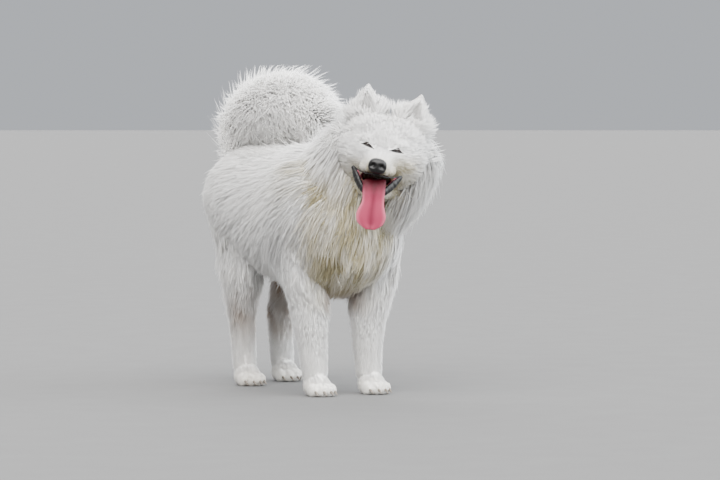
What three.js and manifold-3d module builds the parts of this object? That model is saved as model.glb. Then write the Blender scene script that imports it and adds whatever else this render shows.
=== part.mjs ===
// A samoyed standing still, life size, with its head turned to its right, its mouth open in a panting
// smile and its tail curled over its back. Millimetres, +Z up. The dog faces -Y and its left is +X.
// The origin is on the ground, under the middle of the dog's bounding box.
import * as THREE from "three";
import { mergeVertices } from "three/addons/utils/BufferGeometryUtils.js";
import Module from "manifold-3d";

const wasm = await Module();
wasm.setup();

const GAP = 0.3; // left between nodes that touch
const DEGREE = Math.PI / 180;
const FULL_TURN = 2 * Math.PI;
const X_AXIS = new THREE.Vector3(1, 0, 0);
const UP = new THREE.Vector3(0, 0, 1);
const DOWN = new THREE.Vector3(0, 0, -1);
const FORWARD = new THREE.Vector3(0, -1, 0);
const SIDES = { left: 1, right: -1 };

// Stations end with how deep the core lies below the tips of the coat, where hair stands on it.

// The trunk's outline from rump to chest: y, half width, top, bottom, coat
const TRUNK = [
  [312, 44, 486, 416, 8],
  [300, 80, 520, 384, 22],
  [276, 108, 543, 350, 24],
  [240, 127, 558, 316, 24],
  [190, 136, 566, 290, 24],
  [110, 140, 566, 268, 24],
  [20, 150, 566, 246, 25],
  [-70, 160, 572, 230, 27],
  [-150, 172, 584, 222, 29],
  [-215, 176, 588, 228, 31],
  [-272, 158, 566, 252, 32],
  [-318, 112, 515, 292, 30],
  [-342, 52, 450, 345, 20],
];

// The neck with its ruff, from inside the trunk to the back of the head: x, y, z, half width, half depth,
// coat
const NECK = [
  [4, -165, 430, 128, 130, 34],
  [24, -218, 462, 142, 142, 36],
  [46, -262, 500, 144, 138, 36],
  [58, -294, 538, 140, 126, 34],
  [62, -313, 574, 130, 102, 28],
  [60, -326, 606, 96, 62, 16],
];
const NECK_TURN = -25; // how far its sections turn with the head
const NECK_CUT = { at: [14, -262, 480], facing: [0.1, -0.76, 0.62] };

// A left foreleg from shoulder to pastern: x, y, z, half width, half depth, coat
const FORELEG = [
  [92, -196, 460, 40, 50, 20],
  [108, -195, 400, 74, 80, 22],
  [112, -188, 330, 79, 76, 20],
  [98, -192, 262, 62, 60, 16],
  [83, -200, 200, 46, 48, 12],
  [74, -208, 150, 36, 39, 8],
  [71, -212, 108, 31, 33, 3],
  [70, -218, 62, 27, 29, 0],
  [70, -223, 20, 24, 26, 0],
];

// A left hind leg from hip to pastern, with its stifle in front of its hock
const HINDLEG = [
  [68, 178, 510, 24, 50, 12],
  [76, 180, 450, 50, 88, 22],
  [84, 178, 375, 54, 96, 22],
  [84, 158, 300, 50, 88, 20],
  [80, 176, 235, 41, 64, 16],
  [74, 204, 172, 31, 41, 9],
  [70, 204, 112, 26, 31, 3],
  [70, 198, 62, 25, 27, 0],
  [70, 192, 20, 24, 26, 0],
];
const HIND_STEP = { left: 26, right: -56 }; // how far each hind foot stands behind the line above
const STEP_HEIGHTS = [165, 450]; // the step is whole below the first and none above the second

// The space round a leg that its node takes: how much wider it is, how far inwards, how far below ground
const SLEEVE = { fore: 16, hind: 20, inner: 26, below: 60, paw: 36 };

// Upright tubes that only guide the locks on the back of the rump and on the chest
const BREECH = [
  [0, 220, 520, 84, 72, 24],
  [0, 222, 470, 100, 94, 26],
  [0, 222, 420, 112, 92, 28],
  [0, 214, 370, 120, 82, 28],
  [0, 204, 320, 122, 66, 26],
];
const BIB = [
  [12, -246, 530, 92, 92, 28],
  [8, -242, 470, 104, 108, 28],
  [6, -238, 420, 120, 114, 30],
  [4, -232, 360, 120, 108, 30],
  [2, -222, 300, 112, 88, 30],
  [0, -205, 250, 96, 60, 26],
];

// The tail from the rump, up and forward over the back: x, y, z, half width, half depth, coat
const TAIL = [
  [0, 228, 500, 40, 40, 14],
  [0, 260, 546, 64, 56, 22],
  [6, 254, 600, 78, 70, 28],
  [20, 202, 632, 88, 86, 32],
  [36, 132, 642, 90, 90, 34],
  [50, 62, 630, 84, 84, 32],
  [62, 6, 612, 58, 60, 22],
];
const TAIL_SPLIT = 0.34; // share of the tail's length in its base

// Where the head is and how it is held. It is modelled facing -Y round its own origin.
const HEAD = { x: 32, y: -352, z: 549, turn: -31, nod: 5, roll: 12 };
const CRANIUM = [
  [0, 94, 0, 26, 22, 6],
  [0, 78, 1, 64, 56, 14],
  [0, 45, 2, 94, 84, 17],
  [0, 8, 2, 104, 91, 14],
  [0, -22, -2, 95, 79, 6],
  [0, -44, -6, 77, 62, 0],
  [0, -60, -10, 57, 44, 0],
  [0, -73, -12, 40, 30, 0],
];
const MUZZLE = [
  [0, -10, -6, 60, 46],
  [0, -50, -5, 49, 39],
  [0, -74, -8, 41, 30],
  [0, -100, -12, 34, 24],
  [0, -124, -14, 28, 19],
  [0, -140, -15, 22, 15],
  [0, -147, -15, 14, 10],
];
const JAW = [
  [0, -6, -64, 46, 30],
  [0, -50, -58, 38, 22],
  [0, -85, -51, 29, 15],
  [0, -112, -47, 22, 11],
  [0, -126, -45, 14, 8],
];
const JAW_HINGE = { y: 10, z: -25, open: 18 };
const MOUTH = [
  [0, -20, -50, 30, 8],
  [0, -60, -50, 34, 18],
  [0, -100, -56, 30, 24],
  [0, -150, -66, 30, 40],
];

// Half of each lip's line, from the middle of the mouth to its left corner: x, y, z, radius
const LOWER_LIP = [
  [0, -120, -76, 5],
  [17, -115, -74, 5],
  [30, -98, -66, 5.5],
  [43, -80, -50, 5.5],
  [56, -64, -32, 2.5],
];
const UPPER_LIP = [
  [0, -139, -31, 3.5],
  [16, -134, -33, 3.5],
  [27, -114, -35, 3.5],
  [40, -88, -36, 3.5],
  [54, -66, -31, 2],
];

const NOSE = { at: [0, -146, -9], half: [19.5, 14, 15], nostril: [9, -159, -9], nostrilHalf: [5, 8, 4.5] };
const EYE = { at: [33, -51, 20], radius: 11, slit: [13, 18, 3.4], slant: 12 };
const LID = { radius: 2.6, squash: 0.42, turn: 20, shift: [3, 2 - EYE.radius, 0] };

// An ear from base to tip, and the cup that hollows it from the front
const EAR = [
  [47, 22, 60, 42, 22],
  [50, 18, 92, 37, 18],
  [56, 13, 122, 22, 12],
  [60, 9, 142, 8, 6],
  [61, 8, 150, 3, 3],
];
const EAR_CUP = [
  [54, 7, 80, 28, 20],
  [57, 3, 112, 22, 16],
  [61, -2, 142, 9, 10],
];

// The tongue lies on the jaw, bends over the lower lip and hangs straight down
const TONGUE_ROOT = [0, -62, -64];
const TONGUE_BEND = [0, -122, -66];
const TONGUE = { thick: 5, rootWidths: [20, 22, 23], hang: 86 };
// Shares of the hanging length, how far each lies ahead of the bend, and half widths
const TONGUE_HANG = [
  [0.3, 13, 22],
  [0.62, 14, 30],
  [0.86, 12, 26],
  [1, 10, 10],
];

// A paw round its leg's end, on the ground
const PAW = { half: [31, 34, 31], lift: 21, ahead: 8, toes: [-22, -8, 8, 22], reach: [26, 36, 36, 26] };
const TOE = { half: [11.5, 19, 17], lift: 13 };
const CLAW = { radius: 3.2, length: 16, tilt: 112, ahead: 15, lift: 9 };
const PAW_CUT = 44;

// Locks of hair. Each coat gives how far apart its rows are and the locks in a row, the length, half width
// and half thickness of a lock, which way it lies along its tube, how far it falls round the tube, and the
// shares of the tube and the angles round it that the roots are between.
const COATS = {
  trunk: {
    rows: 76,
    apart: 98,
    size: [130, 46, 13],
    lie: -1,
    fall: 0.8,
    shares: [0.08, 0.8],
    arc: [-60, 240],
  },
  breech: {
    rows: 54,
    apart: 68,
    size: [100, 34, 11],
    lie: 1,
    fall: 0,
    shares: [0, 0.9],
    arc: [205, 335],
  },
  bib: {
    rows: 56,
    apart: 78,
    size: [112, 38, 11],
    lie: 1,
    fall: 0,
    shares: [0, 0.92],
    arc: [25, 155],
  },
  neck: {
    rows: 62,
    apart: 88,
    size: [130, 43, 13],
    lie: -1,
    fall: 0.35,
    shares: [0.2, 0.93],
    arc: [-50, 230],
  },
  fore: {
    rows: 76,
    apart: 72,
    size: [104, 31, 9],
    lie: 1,
    fall: 0,
    shares: [0.06, 0.6],
    arc: [-140, 60],
  },
  hind: {
    rows: 80,
    apart: 78,
    size: [112, 35, 10],
    lie: 1,
    fall: 0,
    shares: [0.12, 0.62],
    arc: [-140, 40],
  },
  tailBase: {
    rows: 44,
    apart: 30,
    size: [84, 24, 11],
    lie: 1,
    fall: 0,
    shares: [0.1, 0.36],
    arc: [-30, 210],
  },
  plume: {
    rows: 46,
    apart: 62,
    size: [98, 33, 11],
    lie: 1,
    fall: 0.2,
    shares: [0.36, 0.94],
    arc: [-50, 230],
  },
  cheek: {
    rows: 50,
    apart: 66,
    size: [76, 28, 8],
    lie: -1,
    fall: 0.5,
    shares: [0.16, 0.64],
    arc: [-90, 40],
  },
};
const LOCK = {
  sink: 9, // how far a root lies below the core
  shares: [0, 0.36, 0.72],
  widths: [0.7, 1, 0.72],
  thicks: [1, 1, 0.7],
  rise: 2, // how soon a lock comes up to the tips
  drift: 0.2, // how far roots and lies stray
  tipGap: 12, // how many gaps a grown lock is longer
};
const SEED = 5;

const COLOUR = { coat: 0xf2efe8, skin: 0x1b1818, tongue: 0xd9788c, eye: 0x1d120c };

// Solids from meshes, and back

function solidOf(geometry) {
  const bare = geometry.index ? geometry.toNonIndexed() : geometry.clone();
  bare.deleteAttribute("normal");
  bare.deleteAttribute("uv");
  const merged = mergeVertices(bare, 1e-4);
  return new wasm.Manifold(
    new wasm.Mesh({
      numProp: 3,
      vertProperties: new Float32Array(merged.attributes.position.array),
      triVerts: new Uint32Array(merged.index.array),
    }),
  );
}

function geometryOf(solid) {
  const mesh = solid.getMesh();
  const geometry = new THREE.BufferGeometry();
  geometry.setAttribute("position", new THREE.BufferAttribute(new Float32Array(mesh.vertProperties), 3));
  geometry.setIndex(new THREE.BufferAttribute(new Uint32Array(mesh.triVerts), 1));
  geometry.computeVertexNormals();
  return geometry;
}

function joined(solids) {
  return solids.reduce((whole, piece) => whole.add(piece));
}

// The closed body that holds most of a solid
function largest(solid) {
  return solid.decompose().reduce((best, piece) => (piece.volume() > best.volume() ? piece : best));
}

// What lies beyond a plane, on the side that it faces
function beyond(solid, facing, point, by = 0) {
  const direction = facing.clone().normalize();
  return solid.trimByPlane(direction.toArray(), direction.dot(point) + by);
}

// Both sides of a thin cut through a point
function parted(solid, facing, point) {
  return [beyond(solid, facing, point, GAP / 2), beyond(solid, facing.clone().negate(), point, GAP / 2)];
}

// A draw of numbers from 0 to 1 that is the same each time
function drawFrom(seed) {
  let state = seed;
  return () => {
    state = (state + 0x6d2b79f5) | 0;
    let mixed = Math.imul(state ^ (state >>> 15), 1 | state);
    mixed = (mixed + Math.imul(mixed ^ (mixed >>> 7), 61 | mixed)) ^ mixed;
    return ((mixed ^ (mixed >>> 14)) >>> 0) / 4294967296;
  };
}

// A closed skin over rings that have as many points each, from one end point to another
function skinOver(rings, start, end) {
  const sides = rings[0].length;
  const points = [start, ...rings.flat(), end];
  const at = (i, j) => 1 + i * sides + (j % sides);
  const faces = [];
  for (let j = 0; j < sides; j++) {
    faces.push(0, at(0, j + 1), at(0, j));
    faces.push(points.length - 1, at(rings.length - 1, j), at(rings.length - 1, j + 1));
    for (let i = 0; i < rings.length - 1; i++) {
      faces.push(at(i, j), at(i, j + 1), at(i + 1, j + 1));
      faces.push(at(i, j), at(i + 1, j + 1), at(i + 1, j));
    }
  }
  const geometry = new THREE.BufferGeometry().setFromPoints(points);
  geometry.setIndex(faces);
  return geometry;
}

// A tube of oval sections along a smooth line. Its sections keep their width along one direction. They
// stand square to the line, or all of them square to one facing.

class Tube {
  constructor(stations, { across = X_AXIS, facing = null } = {}) {
    const curve = (points) => new THREE.CatmullRomCurve3(points, false, "catmullrom", 0.5);
    this.across = across;
    this.facing = facing;
    this.line = curve(stations.map(([x, y, z]) => new THREE.Vector3(x, y, z)));
    this.sizes = curve(stations.map(([, , , wide, deep, coat = 0]) => new THREE.Vector3(wide, deep, coat)));
    this.length = this.line.getLength();
  }

  frame(u) {
    const along = this.facing ?? this.line.getTangent(u);
    const side = this.across.clone().addScaledVector(along, -this.across.dot(along)).normalize();
    const front = new THREE.Vector3().crossVectors(along, side);
    return { centre: this.line.getPoint(u), along, side, front };
  }

  // The point at share u of the length, an angle round it and a depth below the tips of the coat. Angle 0 is
  // to +X and 90 degrees to the front or top. Past an end the tube goes straight on.
  point(u, angle, depth = 0) {
    const within = THREE.MathUtils.clamp(u, 0, 1);
    const { centre, along, side, front } = this.frame(within);
    const size = this.sizes.getPoint(within);
    return centre
      .addScaledVector(along, (u - within) * this.length)
      .addScaledVector(side, (size.x - depth) * Math.cos(angle))
      .addScaledVector(front, (size.y - depth) * Math.sin(angle));
  }

  coat(u) {
    return this.sizes.getPoint(THREE.MathUtils.clamp(u, 0, 1)).z;
  }

  // The tube out to the tips of the coat or to its core. A grown one is wider and longer.
  solid({ sides, rings, core = false, by = 0, matrix = null }) {
    const reach = (u) => (2 * u - 1) * (by - (core ? this.coat(u) : 0));
    const ends = [0, 1].map((u) => this.line.getPoint(u).addScaledVector(this.frame(u).along, reach(u)));
    const shares = Array.from({ length: rings + 1 }, (_, i) => i / rings);
    const loops = shares.map((u) => {
      const depth = (core ? this.coat(u) : 0) - by;
      const stretch = this.frame(u).along.clone().multiplyScalar(u === 0 ? depth : u === 1 ? -depth : 0);
      const corner = (_, j) => this.point(u, (j / sides) * FULL_TURN, depth).add(stretch);
      return Array.from({ length: sides }, corner);
    });
    const geometry = skinOver(loops, ...ends);
    return solidOf(matrix ? geometry.applyMatrix4(matrix) : geometry);
  }

  // Whether a point lies inside the tube, at a depth below the tips of the coat
  holds(point, depthAt = (u) => this.coat(u)) {
    const steps = 40;
    for (let i = 0; i <= steps; i++) {
      const { centre, along, side, front } = this.frame(i / steps);
      const offset = point.clone().sub(centre);
      if (Math.abs(offset.dot(along)) > (0.75 * this.length) / steps) continue;
      const size = this.sizes.getPoint(i / steps);
      const depth = depthAt(i / steps);
      const across = offset.dot(side) / (size.x - depth);
      const ahead = offset.dot(front) / (size.y - depth);
      if (Math.hypot(across, ahead) < 1) return true;
    }
    return false;
  }
}

// Locks of hair on a tube: where each is rooted and how it lies, in shares of the tube and angles round it

function locksOn(tube, coat, draw, side = 1) {
  const { rows, apart, size, lie, fall, shares, arc } = coat;
  const [first, last] = shares;
  const ownArc = side > 0 ? arc : arc.map((angle) => 180 - angle).reverse();
  const [from, to] = ownArc.map((angle) => angle * DEGREE);
  const stray = () => LOCK.drift * (2 * draw() - 1);
  const count = Math.round(((last - first) * tube.length) / rows);
  const locks = [];
  for (let row = 0; row < count; row++) {
    const rowShare = first + ((row + 0.5) / count) * (last - first);
    const { x: wide, y: deep } = tube.sizes.getPoint(rowShare);
    const radius = (wide + deep) / 2 - tube.coat(rowShare);
    const number = Math.max(2, Math.round(((to - from) * radius) / apart));
    for (let i = 0; i < number; i++) {
      const angle = from + ((to - from) * (i + 0.5 * (row % 2) + stray())) / number;
      const u = rowShare + (stray() * rows) / tube.length;
      const length = size[0] * (1 + stray());
      const turn = stray() - fall * Math.cos(angle);
      locks.push({
        tube,
        u,
        angle,
        along: (lie * length * Math.cos(turn)) / tube.length,
        round: (length * Math.sin(turn)) / radius,
        half: [size[1] * (1 + stray()), size[2]],
      });
    }
  }
  return locks;
}

// The middle line of a lock, from its root at 0 to its tip at 1, lifted by an amount
function lockPoint({ tube, u, angle, along, round }, share, lift = 0) {
  const at = u + along * share;
  const depth = (tube.coat(at) + LOCK.sink) * (1 - share) ** LOCK.rise;
  return tube.point(at, angle + round * share, depth - lift);
}

// Its sections all keep one width direction, so that its underside stays flat from ring to ring
function lockSolid(lock, by, matrix = null) {
  const [halfWidth, halfThick] = lock.half;
  const at = (share, lift = 0) => lockPoint(lock, share, lift);
  const [root, tip] = [at(0), at(1)];
  const side = new THREE.Vector3().crossVectors(at(0.5, 1).sub(at(0.5)), tip.clone().sub(root)).normalize();
  const rings = LOCK.shares.map((share, i) => {
    const centre = at(share);
    const way = at(share + 0.1).sub(at(Math.max(0, share - 0.1)));
    const out = way.cross(side).normalize();
    const [bareWide, bareThick] = [halfWidth * LOCK.widths[i], halfThick * LOCK.thicks[i]];
    const slope = Math.hypot(bareWide, bareThick);
    const wide = bareWide + (by * (slope + bareWide)) / bareThick;
    const thick = bareThick + (by * slope) / bareWide;
    return [
      centre.clone().addScaledVector(side, wide).addScaledVector(out, -by),
      centre.clone().addScaledVector(out, thick),
      centre.clone().addScaledVector(side, -wide).addScaledVector(out, -by),
    ];
  });
  const under = at(1, -1).sub(tip);
  root.addScaledVector(at(0.1).sub(root).normalize(), -by);
  tip.addScaledVector(tip.clone().sub(at(LOCK.shares[LOCK.shares.length - 1])).normalize(), by * LOCK.tipGap);
  const geometry = skinOver(rings, root, tip.addScaledVector(under, by));
  return solidOf(matrix ? geometry.applyMatrix4(matrix) : geometry);
}

function ballGeometry([x, y, z], [wide, deep, high], detail) {
  const geometry = new THREE.SphereGeometry(1, detail, Math.round(detail * 0.6));
  return geometry.scale(wide, deep, high).translate(x, y, z);
}

function grown(halves, by) {
  return halves.map((half) => half + by);
}

function mirrored([x, ...others], side) {
  return [side * x, ...others];
}

// The head's own frame, and the jaw's in it

const headMatrix = new THREE.Matrix4()
  .makeTranslation(HEAD.x, HEAD.y, HEAD.z)
  .multiply(new THREE.Matrix4().makeRotationZ(HEAD.turn * DEGREE))
  .multiply(new THREE.Matrix4().makeRotationX(HEAD.nod * DEGREE))
  .multiply(new THREE.Matrix4().makeRotationY(HEAD.roll * DEGREE));

const jawMatrix = new THREE.Matrix4()
  .makeTranslation(0, JAW_HINGE.y, JAW_HINGE.z)
  .multiply(new THREE.Matrix4().makeRotationX(JAW_HINGE.open * DEGREE))
  .multiply(new THREE.Matrix4().makeTranslation(0, -JAW_HINGE.y, -JAW_HINGE.z));

function onHead(geometry) {
  return solidOf(geometry.applyMatrix4(headMatrix));
}

// Pieces of the head. Each takes how much it is grown by.

function noseSolid(by) {
  return onHead(ballGeometry(NOSE.at, grown(NOSE.half, by), 12));
}

function nostrils() {
  const hole = (side) => onHead(ballGeometry(mirrored(NOSE.nostril, side), NOSE.nostrilHalf, 8));
  return joined(Object.values(SIDES).map(hole));
}

// A lip runs across the head, so its sections stand on the vertical
function lipSolid(half, by) {
  const left = half.slice(1).map((station) => mirrored(station, -1));
  const stations = [...left.reverse(), ...half].map(([x, y, z, radius]) => [x, y, z, radius, radius]);
  return new Tube(stations, { across: UP }).solid({ sides: 6, rings: 12, by, matrix: headMatrix });
}

function eyeSolid(side, by) {
  return onHead(ballGeometry(mirrored(EYE.at, side), grown(Array(3).fill(EYE.radius), by), 10));
}

// The opening between the lids, in front of the eye
function eyeSlit(side) {
  const slit = ballGeometry([0, -EYE.radius, 0], EYE.slit, 10);
  return onHead(slit.rotateY(-side * EYE.slant * DEGREE).translate(...mirrored(EYE.at, side)));
}

function eyeLids(side) {
  const [x, y, z] = mirrored(EYE.at, side);
  const [dx, dy, dz] = mirrored(LID.shift, side);
  const ring = new THREE.TorusGeometry(EYE.slit[0], LID.radius, 5, 12).rotateX(90 * DEGREE);
  ring.scale(1, 1, LID.squash).rotateY(-side * EYE.slant * DEGREE).rotateZ(side * LID.turn * DEGREE);
  return onHead(ring.translate(x + dx, y + dy, z + dz));
}

function earSolid(side, by) {
  const stations = EAR.map((station) => mirrored(station, side));
  return new Tube(stations, { facing: UP }).solid({ sides: 12, rings: 5, by, matrix: headMatrix });
}

function earCup(side) {
  const stations = EAR_CUP.map((station) => mirrored(station, side));
  return new Tube(stations, { facing: UP }).solid({ sides: 8, rings: 4, matrix: headMatrix });
}

function jawSolid(by) {
  const matrix = headMatrix.clone().multiply(jawMatrix);
  return new Tube(JAW, { facing: FORWARD }).solid({ sides: 12, rings: 6, by, matrix });
}

const craniumTube = new Tube(CRANIUM, { facing: FORWARD });
const muzzleTube = new Tube(MUZZLE, { facing: FORWARD });

function headSolid(by) {
  const cranium = craniumTube.solid({ sides: 18, rings: 10, core: true, by, matrix: headMatrix });
  return cranium.add(muzzleTube.solid({ sides: 16, rings: 8, by, matrix: headMatrix }));
}

function tongueSolid(by) {
  const root = new THREE.Vector3(...TONGUE_ROOT).applyMatrix4(headMatrix);
  const bend = new THREE.Vector3(...TONGUE_BEND).applyMatrix4(headMatrix);
  const forward = FORWARD.clone().transformDirection(headMatrix);
  const across = X_AXIS.clone().transformDirection(headMatrix).setZ(0).normalize();
  const places = [root, root.clone().lerp(bend, 0.6), bend];
  const widths = [...TONGUE.rootWidths];
  for (const [share, ahead, half] of TONGUE_HANG) {
    places.push(bend.clone().addScaledVector(forward, ahead).addScaledVector(UP, -TONGUE.hang * share));
    widths.push(half);
  }
  const stations = places.map((place, i) => [...place.toArray(), widths[i], TONGUE.thick]);
  return new Tube(stations, { across }).solid({ sides: 9, rings: 11, by });
}

// Trunk, neck, legs and paws

const trunkTube = new Tube(
  TRUNK.map(([y, wide, top, bottom, coat]) => [0, y, (top + bottom) / 2, wide, (top - bottom) / 2, coat]),
  { facing: FORWARD },
);
const breechTube = new Tube(BREECH, { facing: DOWN });
const bibTube = new Tube(BIB, { facing: DOWN });
const neckTube = new Tube(NECK, { across: X_AXIS.clone().applyAxisAngle(UP, NECK_TURN * DEGREE) });
const tailTube = new Tube(TAIL);

// A leg's line with its step, and widened for its sleeve
function legStations(leg, margin = 0) {
  const [low, high] = STEP_HEIGHTS;
  return leg.stations.map(([x, y, z, wide, deep, coat]) => {
    const share = THREE.MathUtils.clamp((high - z) / (high - low), 0, 1);
    return [leg.side * x, y + leg.step * share, z, wide + margin, deep + margin, coat];
  });
}

// The space that a leg's node takes from the body
function sleeveSolid(leg, by) {
  const stations = legStations(leg, leg.margin);
  const [x, y, z, wide, deep] = stations.pop();
  stations.push([x, y, z, wide + SLEEVE.paw, deep + SLEEVE.paw]);
  stations.push([x, y, -SLEEVE.below, wide + 2 * SLEEVE.paw, deep + 2 * SLEEVE.paw]);
  const space = new Tube(stations, { facing: DOWN }).solid({ sides: 9, rings: 8, by });
  return beyond(space, X_AXIS.clone().multiplyScalar(leg.side), new THREE.Vector3(), SLEEVE.inner - by);
}

function pawSolid(leg) {
  const stations = legStations(leg);
  const [x, footY] = stations[stations.length - 1];
  const y = footY - PAW.ahead;
  const pieces = [solidOf(ballGeometry([x, y, PAW.lift], PAW.half, 9))];
  PAW.toes.forEach((across, i) => {
    const front = y - PAW.reach[i];
    pieces.push(solidOf(ballGeometry([x + across, front, TOE.lift], TOE.half, 6)));
    const claw = new THREE.ConeGeometry(CLAW.radius, CLAW.length, 3).rotateX(CLAW.tilt * DEGREE);
    pieces.push(solidOf(claw.translate(x + across, front - CLAW.ahead, CLAW.lift)));
  });
  return beyond(joined(pieces), UP, new THREE.Vector3());
}

const fore = { stations: FORELEG, coat: COATS.fore, margin: SLEEVE.fore, step: 0 };
const hind = { stations: HINDLEG, coat: COATS.hind, margin: SLEEVE.hind };
const legs = Object.entries(SIDES).flatMap(([name, side]) => [
  { ...fore, name: "foreleg_" + name, paw: "forepaw_" + name, side },
  { ...hind, name: "hindleg_" + name, paw: "hindpaw_" + name, side, step: HIND_STEP[name] },
]);
for (const leg of legs) {
  leg.tube = new Tube(legStations(leg), { facing: DOWN });
  leg.sleeve = new Tube(legStations(leg, leg.margin), { facing: DOWN });
}

function bodySolid(by) {
  return joined([
    trunkTube.solid({ sides: 15, rings: 11, core: true, by }),
    neckTube.solid({ sides: 16, rings: 6, core: true, by }),
    ...legs.map((leg) => leg.tube.solid({ sides: 11, rings: 9, core: true, by }).add(pawSolid(leg))),
  ]);
}

// Locks, and the nodes that they belong to

const draw = drawFrom(SEED);
const coats = new Map();
const neckFacing = new THREE.Vector3(...NECK_CUT.facing);
const neckPoint = new THREE.Vector3(...NECK_CUT.at);
const intoHead = headMatrix.clone().invert();

function inHead(point) {
  return craniumTube.holds(point.clone().applyMatrix4(intoHead));
}

function nodeAt(point) {
  const takes = ({ sleeve, side }) => side * point.x > SLEEVE.inner && sleeve.holds(point, () => 0);
  const taker = legs.find(takes);
  if (taker) return taker.name;
  return point.clone().sub(neckPoint).dot(neckFacing) > 0 ? "neck" : "torso";
}

function keepLocks(locks, isBare, nodeOf) {
  for (const lock of locks) {
    const root = lock.tube.point(lock.u, lock.angle, lock.tube.coat(lock.u));
    if (isBare(root, lock)) continue;
    const name = nodeOf(root);
    coats.set(name, [...(coats.get(name) ?? []), lock]);
  }
}

const inLimb = (root) => neckTube.holds(root) || legs.some(({ tube }) => tube.holds(root));
const isLoose = (root) => !trunkTube.holds(root) && !inLimb(root);
const underTail = (root, depth) => tailTube.holds(root, () => depth);
keepLocks(locksOn(trunkTube, COATS.trunk, draw), (root) => inLimb(root) || underTail(root, 12), nodeAt);
keepLocks(locksOn(breechTube, COATS.breech, draw), (root) => isLoose(root) || underTail(root, 20), nodeAt);
keepLocks(locksOn(bibTube, COATS.bib, draw), isLoose, nodeAt);
keepLocks(locksOn(neckTube, COATS.neck, draw), (root) => trunkTube.holds(root) || inHead(root), nodeAt);
for (const leg of legs) {
  keepLocks(locksOn(leg.tube, leg.coat, draw, leg.side), (root) => trunkTube.holds(root), () => leg.name);
}

function coated(core, locks, by, matrix = null) {
  return joined([core, ...locks.map((lock) => lockSolid(lock, by, matrix))]);
}

// The nodes are made one by one, and each is kept clear of the spaces that those before it hold

const group = new THREE.Group();
const held = [];

function add(name, solid, space, colour = COLOUR.coat, roughness = 0.9) {
  const clear = held.reduce((rest, other) => rest.subtract(other), solid);
  const material = new THREE.MeshStandardMaterial({ color: colour, roughness, metalness: 0 });
  const mesh = new THREE.Mesh(geometryOf(largest(clear)), material);
  mesh.name = name;
  group.add(mesh);
  if (space) held.push(space);
}

for (const [name, side] of Object.entries(SIDES)) {
  add("eye_" + name, eyeSolid(side, 0), eyeSolid(side, GAP), COLOUR.eye, 0.1);
}
add("nose", noseSolid(0).subtract(nostrils()), noseSolid(GAP), COLOUR.skin, 0.4);
add("tongue", tongueSolid(0), tongueSolid(GAP), COLOUR.tongue, 0.4);
add("lip_lower", lipSolid(LOWER_LIP, 0), lipSolid(LOWER_LIP, GAP), COLOUR.skin, 0.4);
add("lip_upper", lipSolid(UPPER_LIP, 0), lipSolid(UPPER_LIP, GAP), COLOUR.skin, 0.4);
add("jaw", jawSolid(0), jawSolid(GAP));
for (const [name, side] of Object.entries(SIDES)) {
  add("ear_" + name, earSolid(side, 0).subtract(earCup(side)), earSolid(side, GAP));
}
const mouth = new Tube(MOUTH, { facing: FORWARD }).solid({ sides: 12, rings: 6, matrix: headMatrix });
const faceCuts = joined([mouth, ...Object.values(SIDES).map(eyeSlit)]);
const lids = joined(Object.values(SIDES).map(eyeLids));
const headLocks = Object.values(SIDES).flatMap((side) => locksOn(craniumTube, COATS.cheek, draw, side));
add(
  "head",
  coated(headSolid(0).add(lids).subtract(faceCuts), headLocks, 0, headMatrix),
  coated(headSolid(GAP), headLocks, GAP, headMatrix),
);

// Each leg takes what lies in its sleeve, and a slanting plane parts the neck from the torso

const body = bodySolid(0);
const grownBody = bodySolid(GAP);
const restOfBody = body.subtract(joined(legs.map((leg) => sleeveSolid(leg, GAP))));
const restOfSpace = grownBody.subtract(joined(legs.map((leg) => sleeveSolid(leg, GAP / 2))));
for (const [name, facing] of [
  ["neck", neckFacing],
  ["torso", neckFacing.clone().negate()],
]) {
  const locks = coats.get(name);
  const core = beyond(restOfBody, facing, neckPoint, GAP / 2);
  add(name, coated(core, locks, 0), coated(beyond(restOfSpace, facing, neckPoint), locks, GAP));
}
for (const leg of legs) {
  const locks = coats.get(leg.name);
  const whole = coated(body.intersect(sleeveSolid(leg, 0)), locks, 0);
  const space = coated(grownBody.intersect(sleeveSolid(leg, GAP / 2)), locks, GAP);
  const [upper, paw] = parted(whole, UP, new THREE.Vector3(0, 0, PAW_CUT));
  add(leg.paw, paw);
  add(leg.name, upper, space);
}

// The tail, in two lengths

const splitFacing = tailTube.line.getTangent(TAIL_SPLIT).negate();
const splitPoint = tailTube.line.getPoint(TAIL_SPLIT);
const tail = tailTube.solid({ sides: 12, rings: 11, core: true });
const tailSpace = tailTube.solid({ sides: 12, rings: 11, core: true, by: GAP });
const [baseCore, plumeCore] = parted(tail, splitFacing, splitPoint);
keepLocks(
  [...locksOn(tailTube, COATS.tailBase, draw), ...locksOn(tailTube, COATS.plume, draw)],
  (root, lock) => trunkTube.holds(root, () => -6) || trunkTube.holds(lockPoint(lock, 1), () => -16),
  (root) => (root.clone().sub(splitPoint).dot(splitFacing) > 0 ? "tail_base" : "tail_plume"),
);
const baseLocks = coats.get("tail_base");
const baseSpace = beyond(tailSpace, splitFacing, splitPoint);
add("tail_base", coated(baseCore, baseLocks, 0), coated(baseSpace, baseLocks, GAP));
add("tail_plume", coated(plumeCore, coats.get("tail_plume"), 0));

const middle = new THREE.Box3().setFromObject(group).getCenter(new THREE.Vector3());
group.position.set(-middle.x, -middle.y, 0);

export default group;
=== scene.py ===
"""A standing samoyed: one skin with lids, lips, tongue and claws, under a coat of mesh tufts.

Lengths are millimetres in the modelling frame: the dog faces -Y, its left is +X and the floor is z = 0.
Finished pieces are moved by SHIFT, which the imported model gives, and scaled to metres.
"""

import math

import bpy
import numpy as np
from mathutils import Matrix, Vector
from mathutils.bvhtree import BVHTree
from mathutils.kdtree import KDTree


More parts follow.
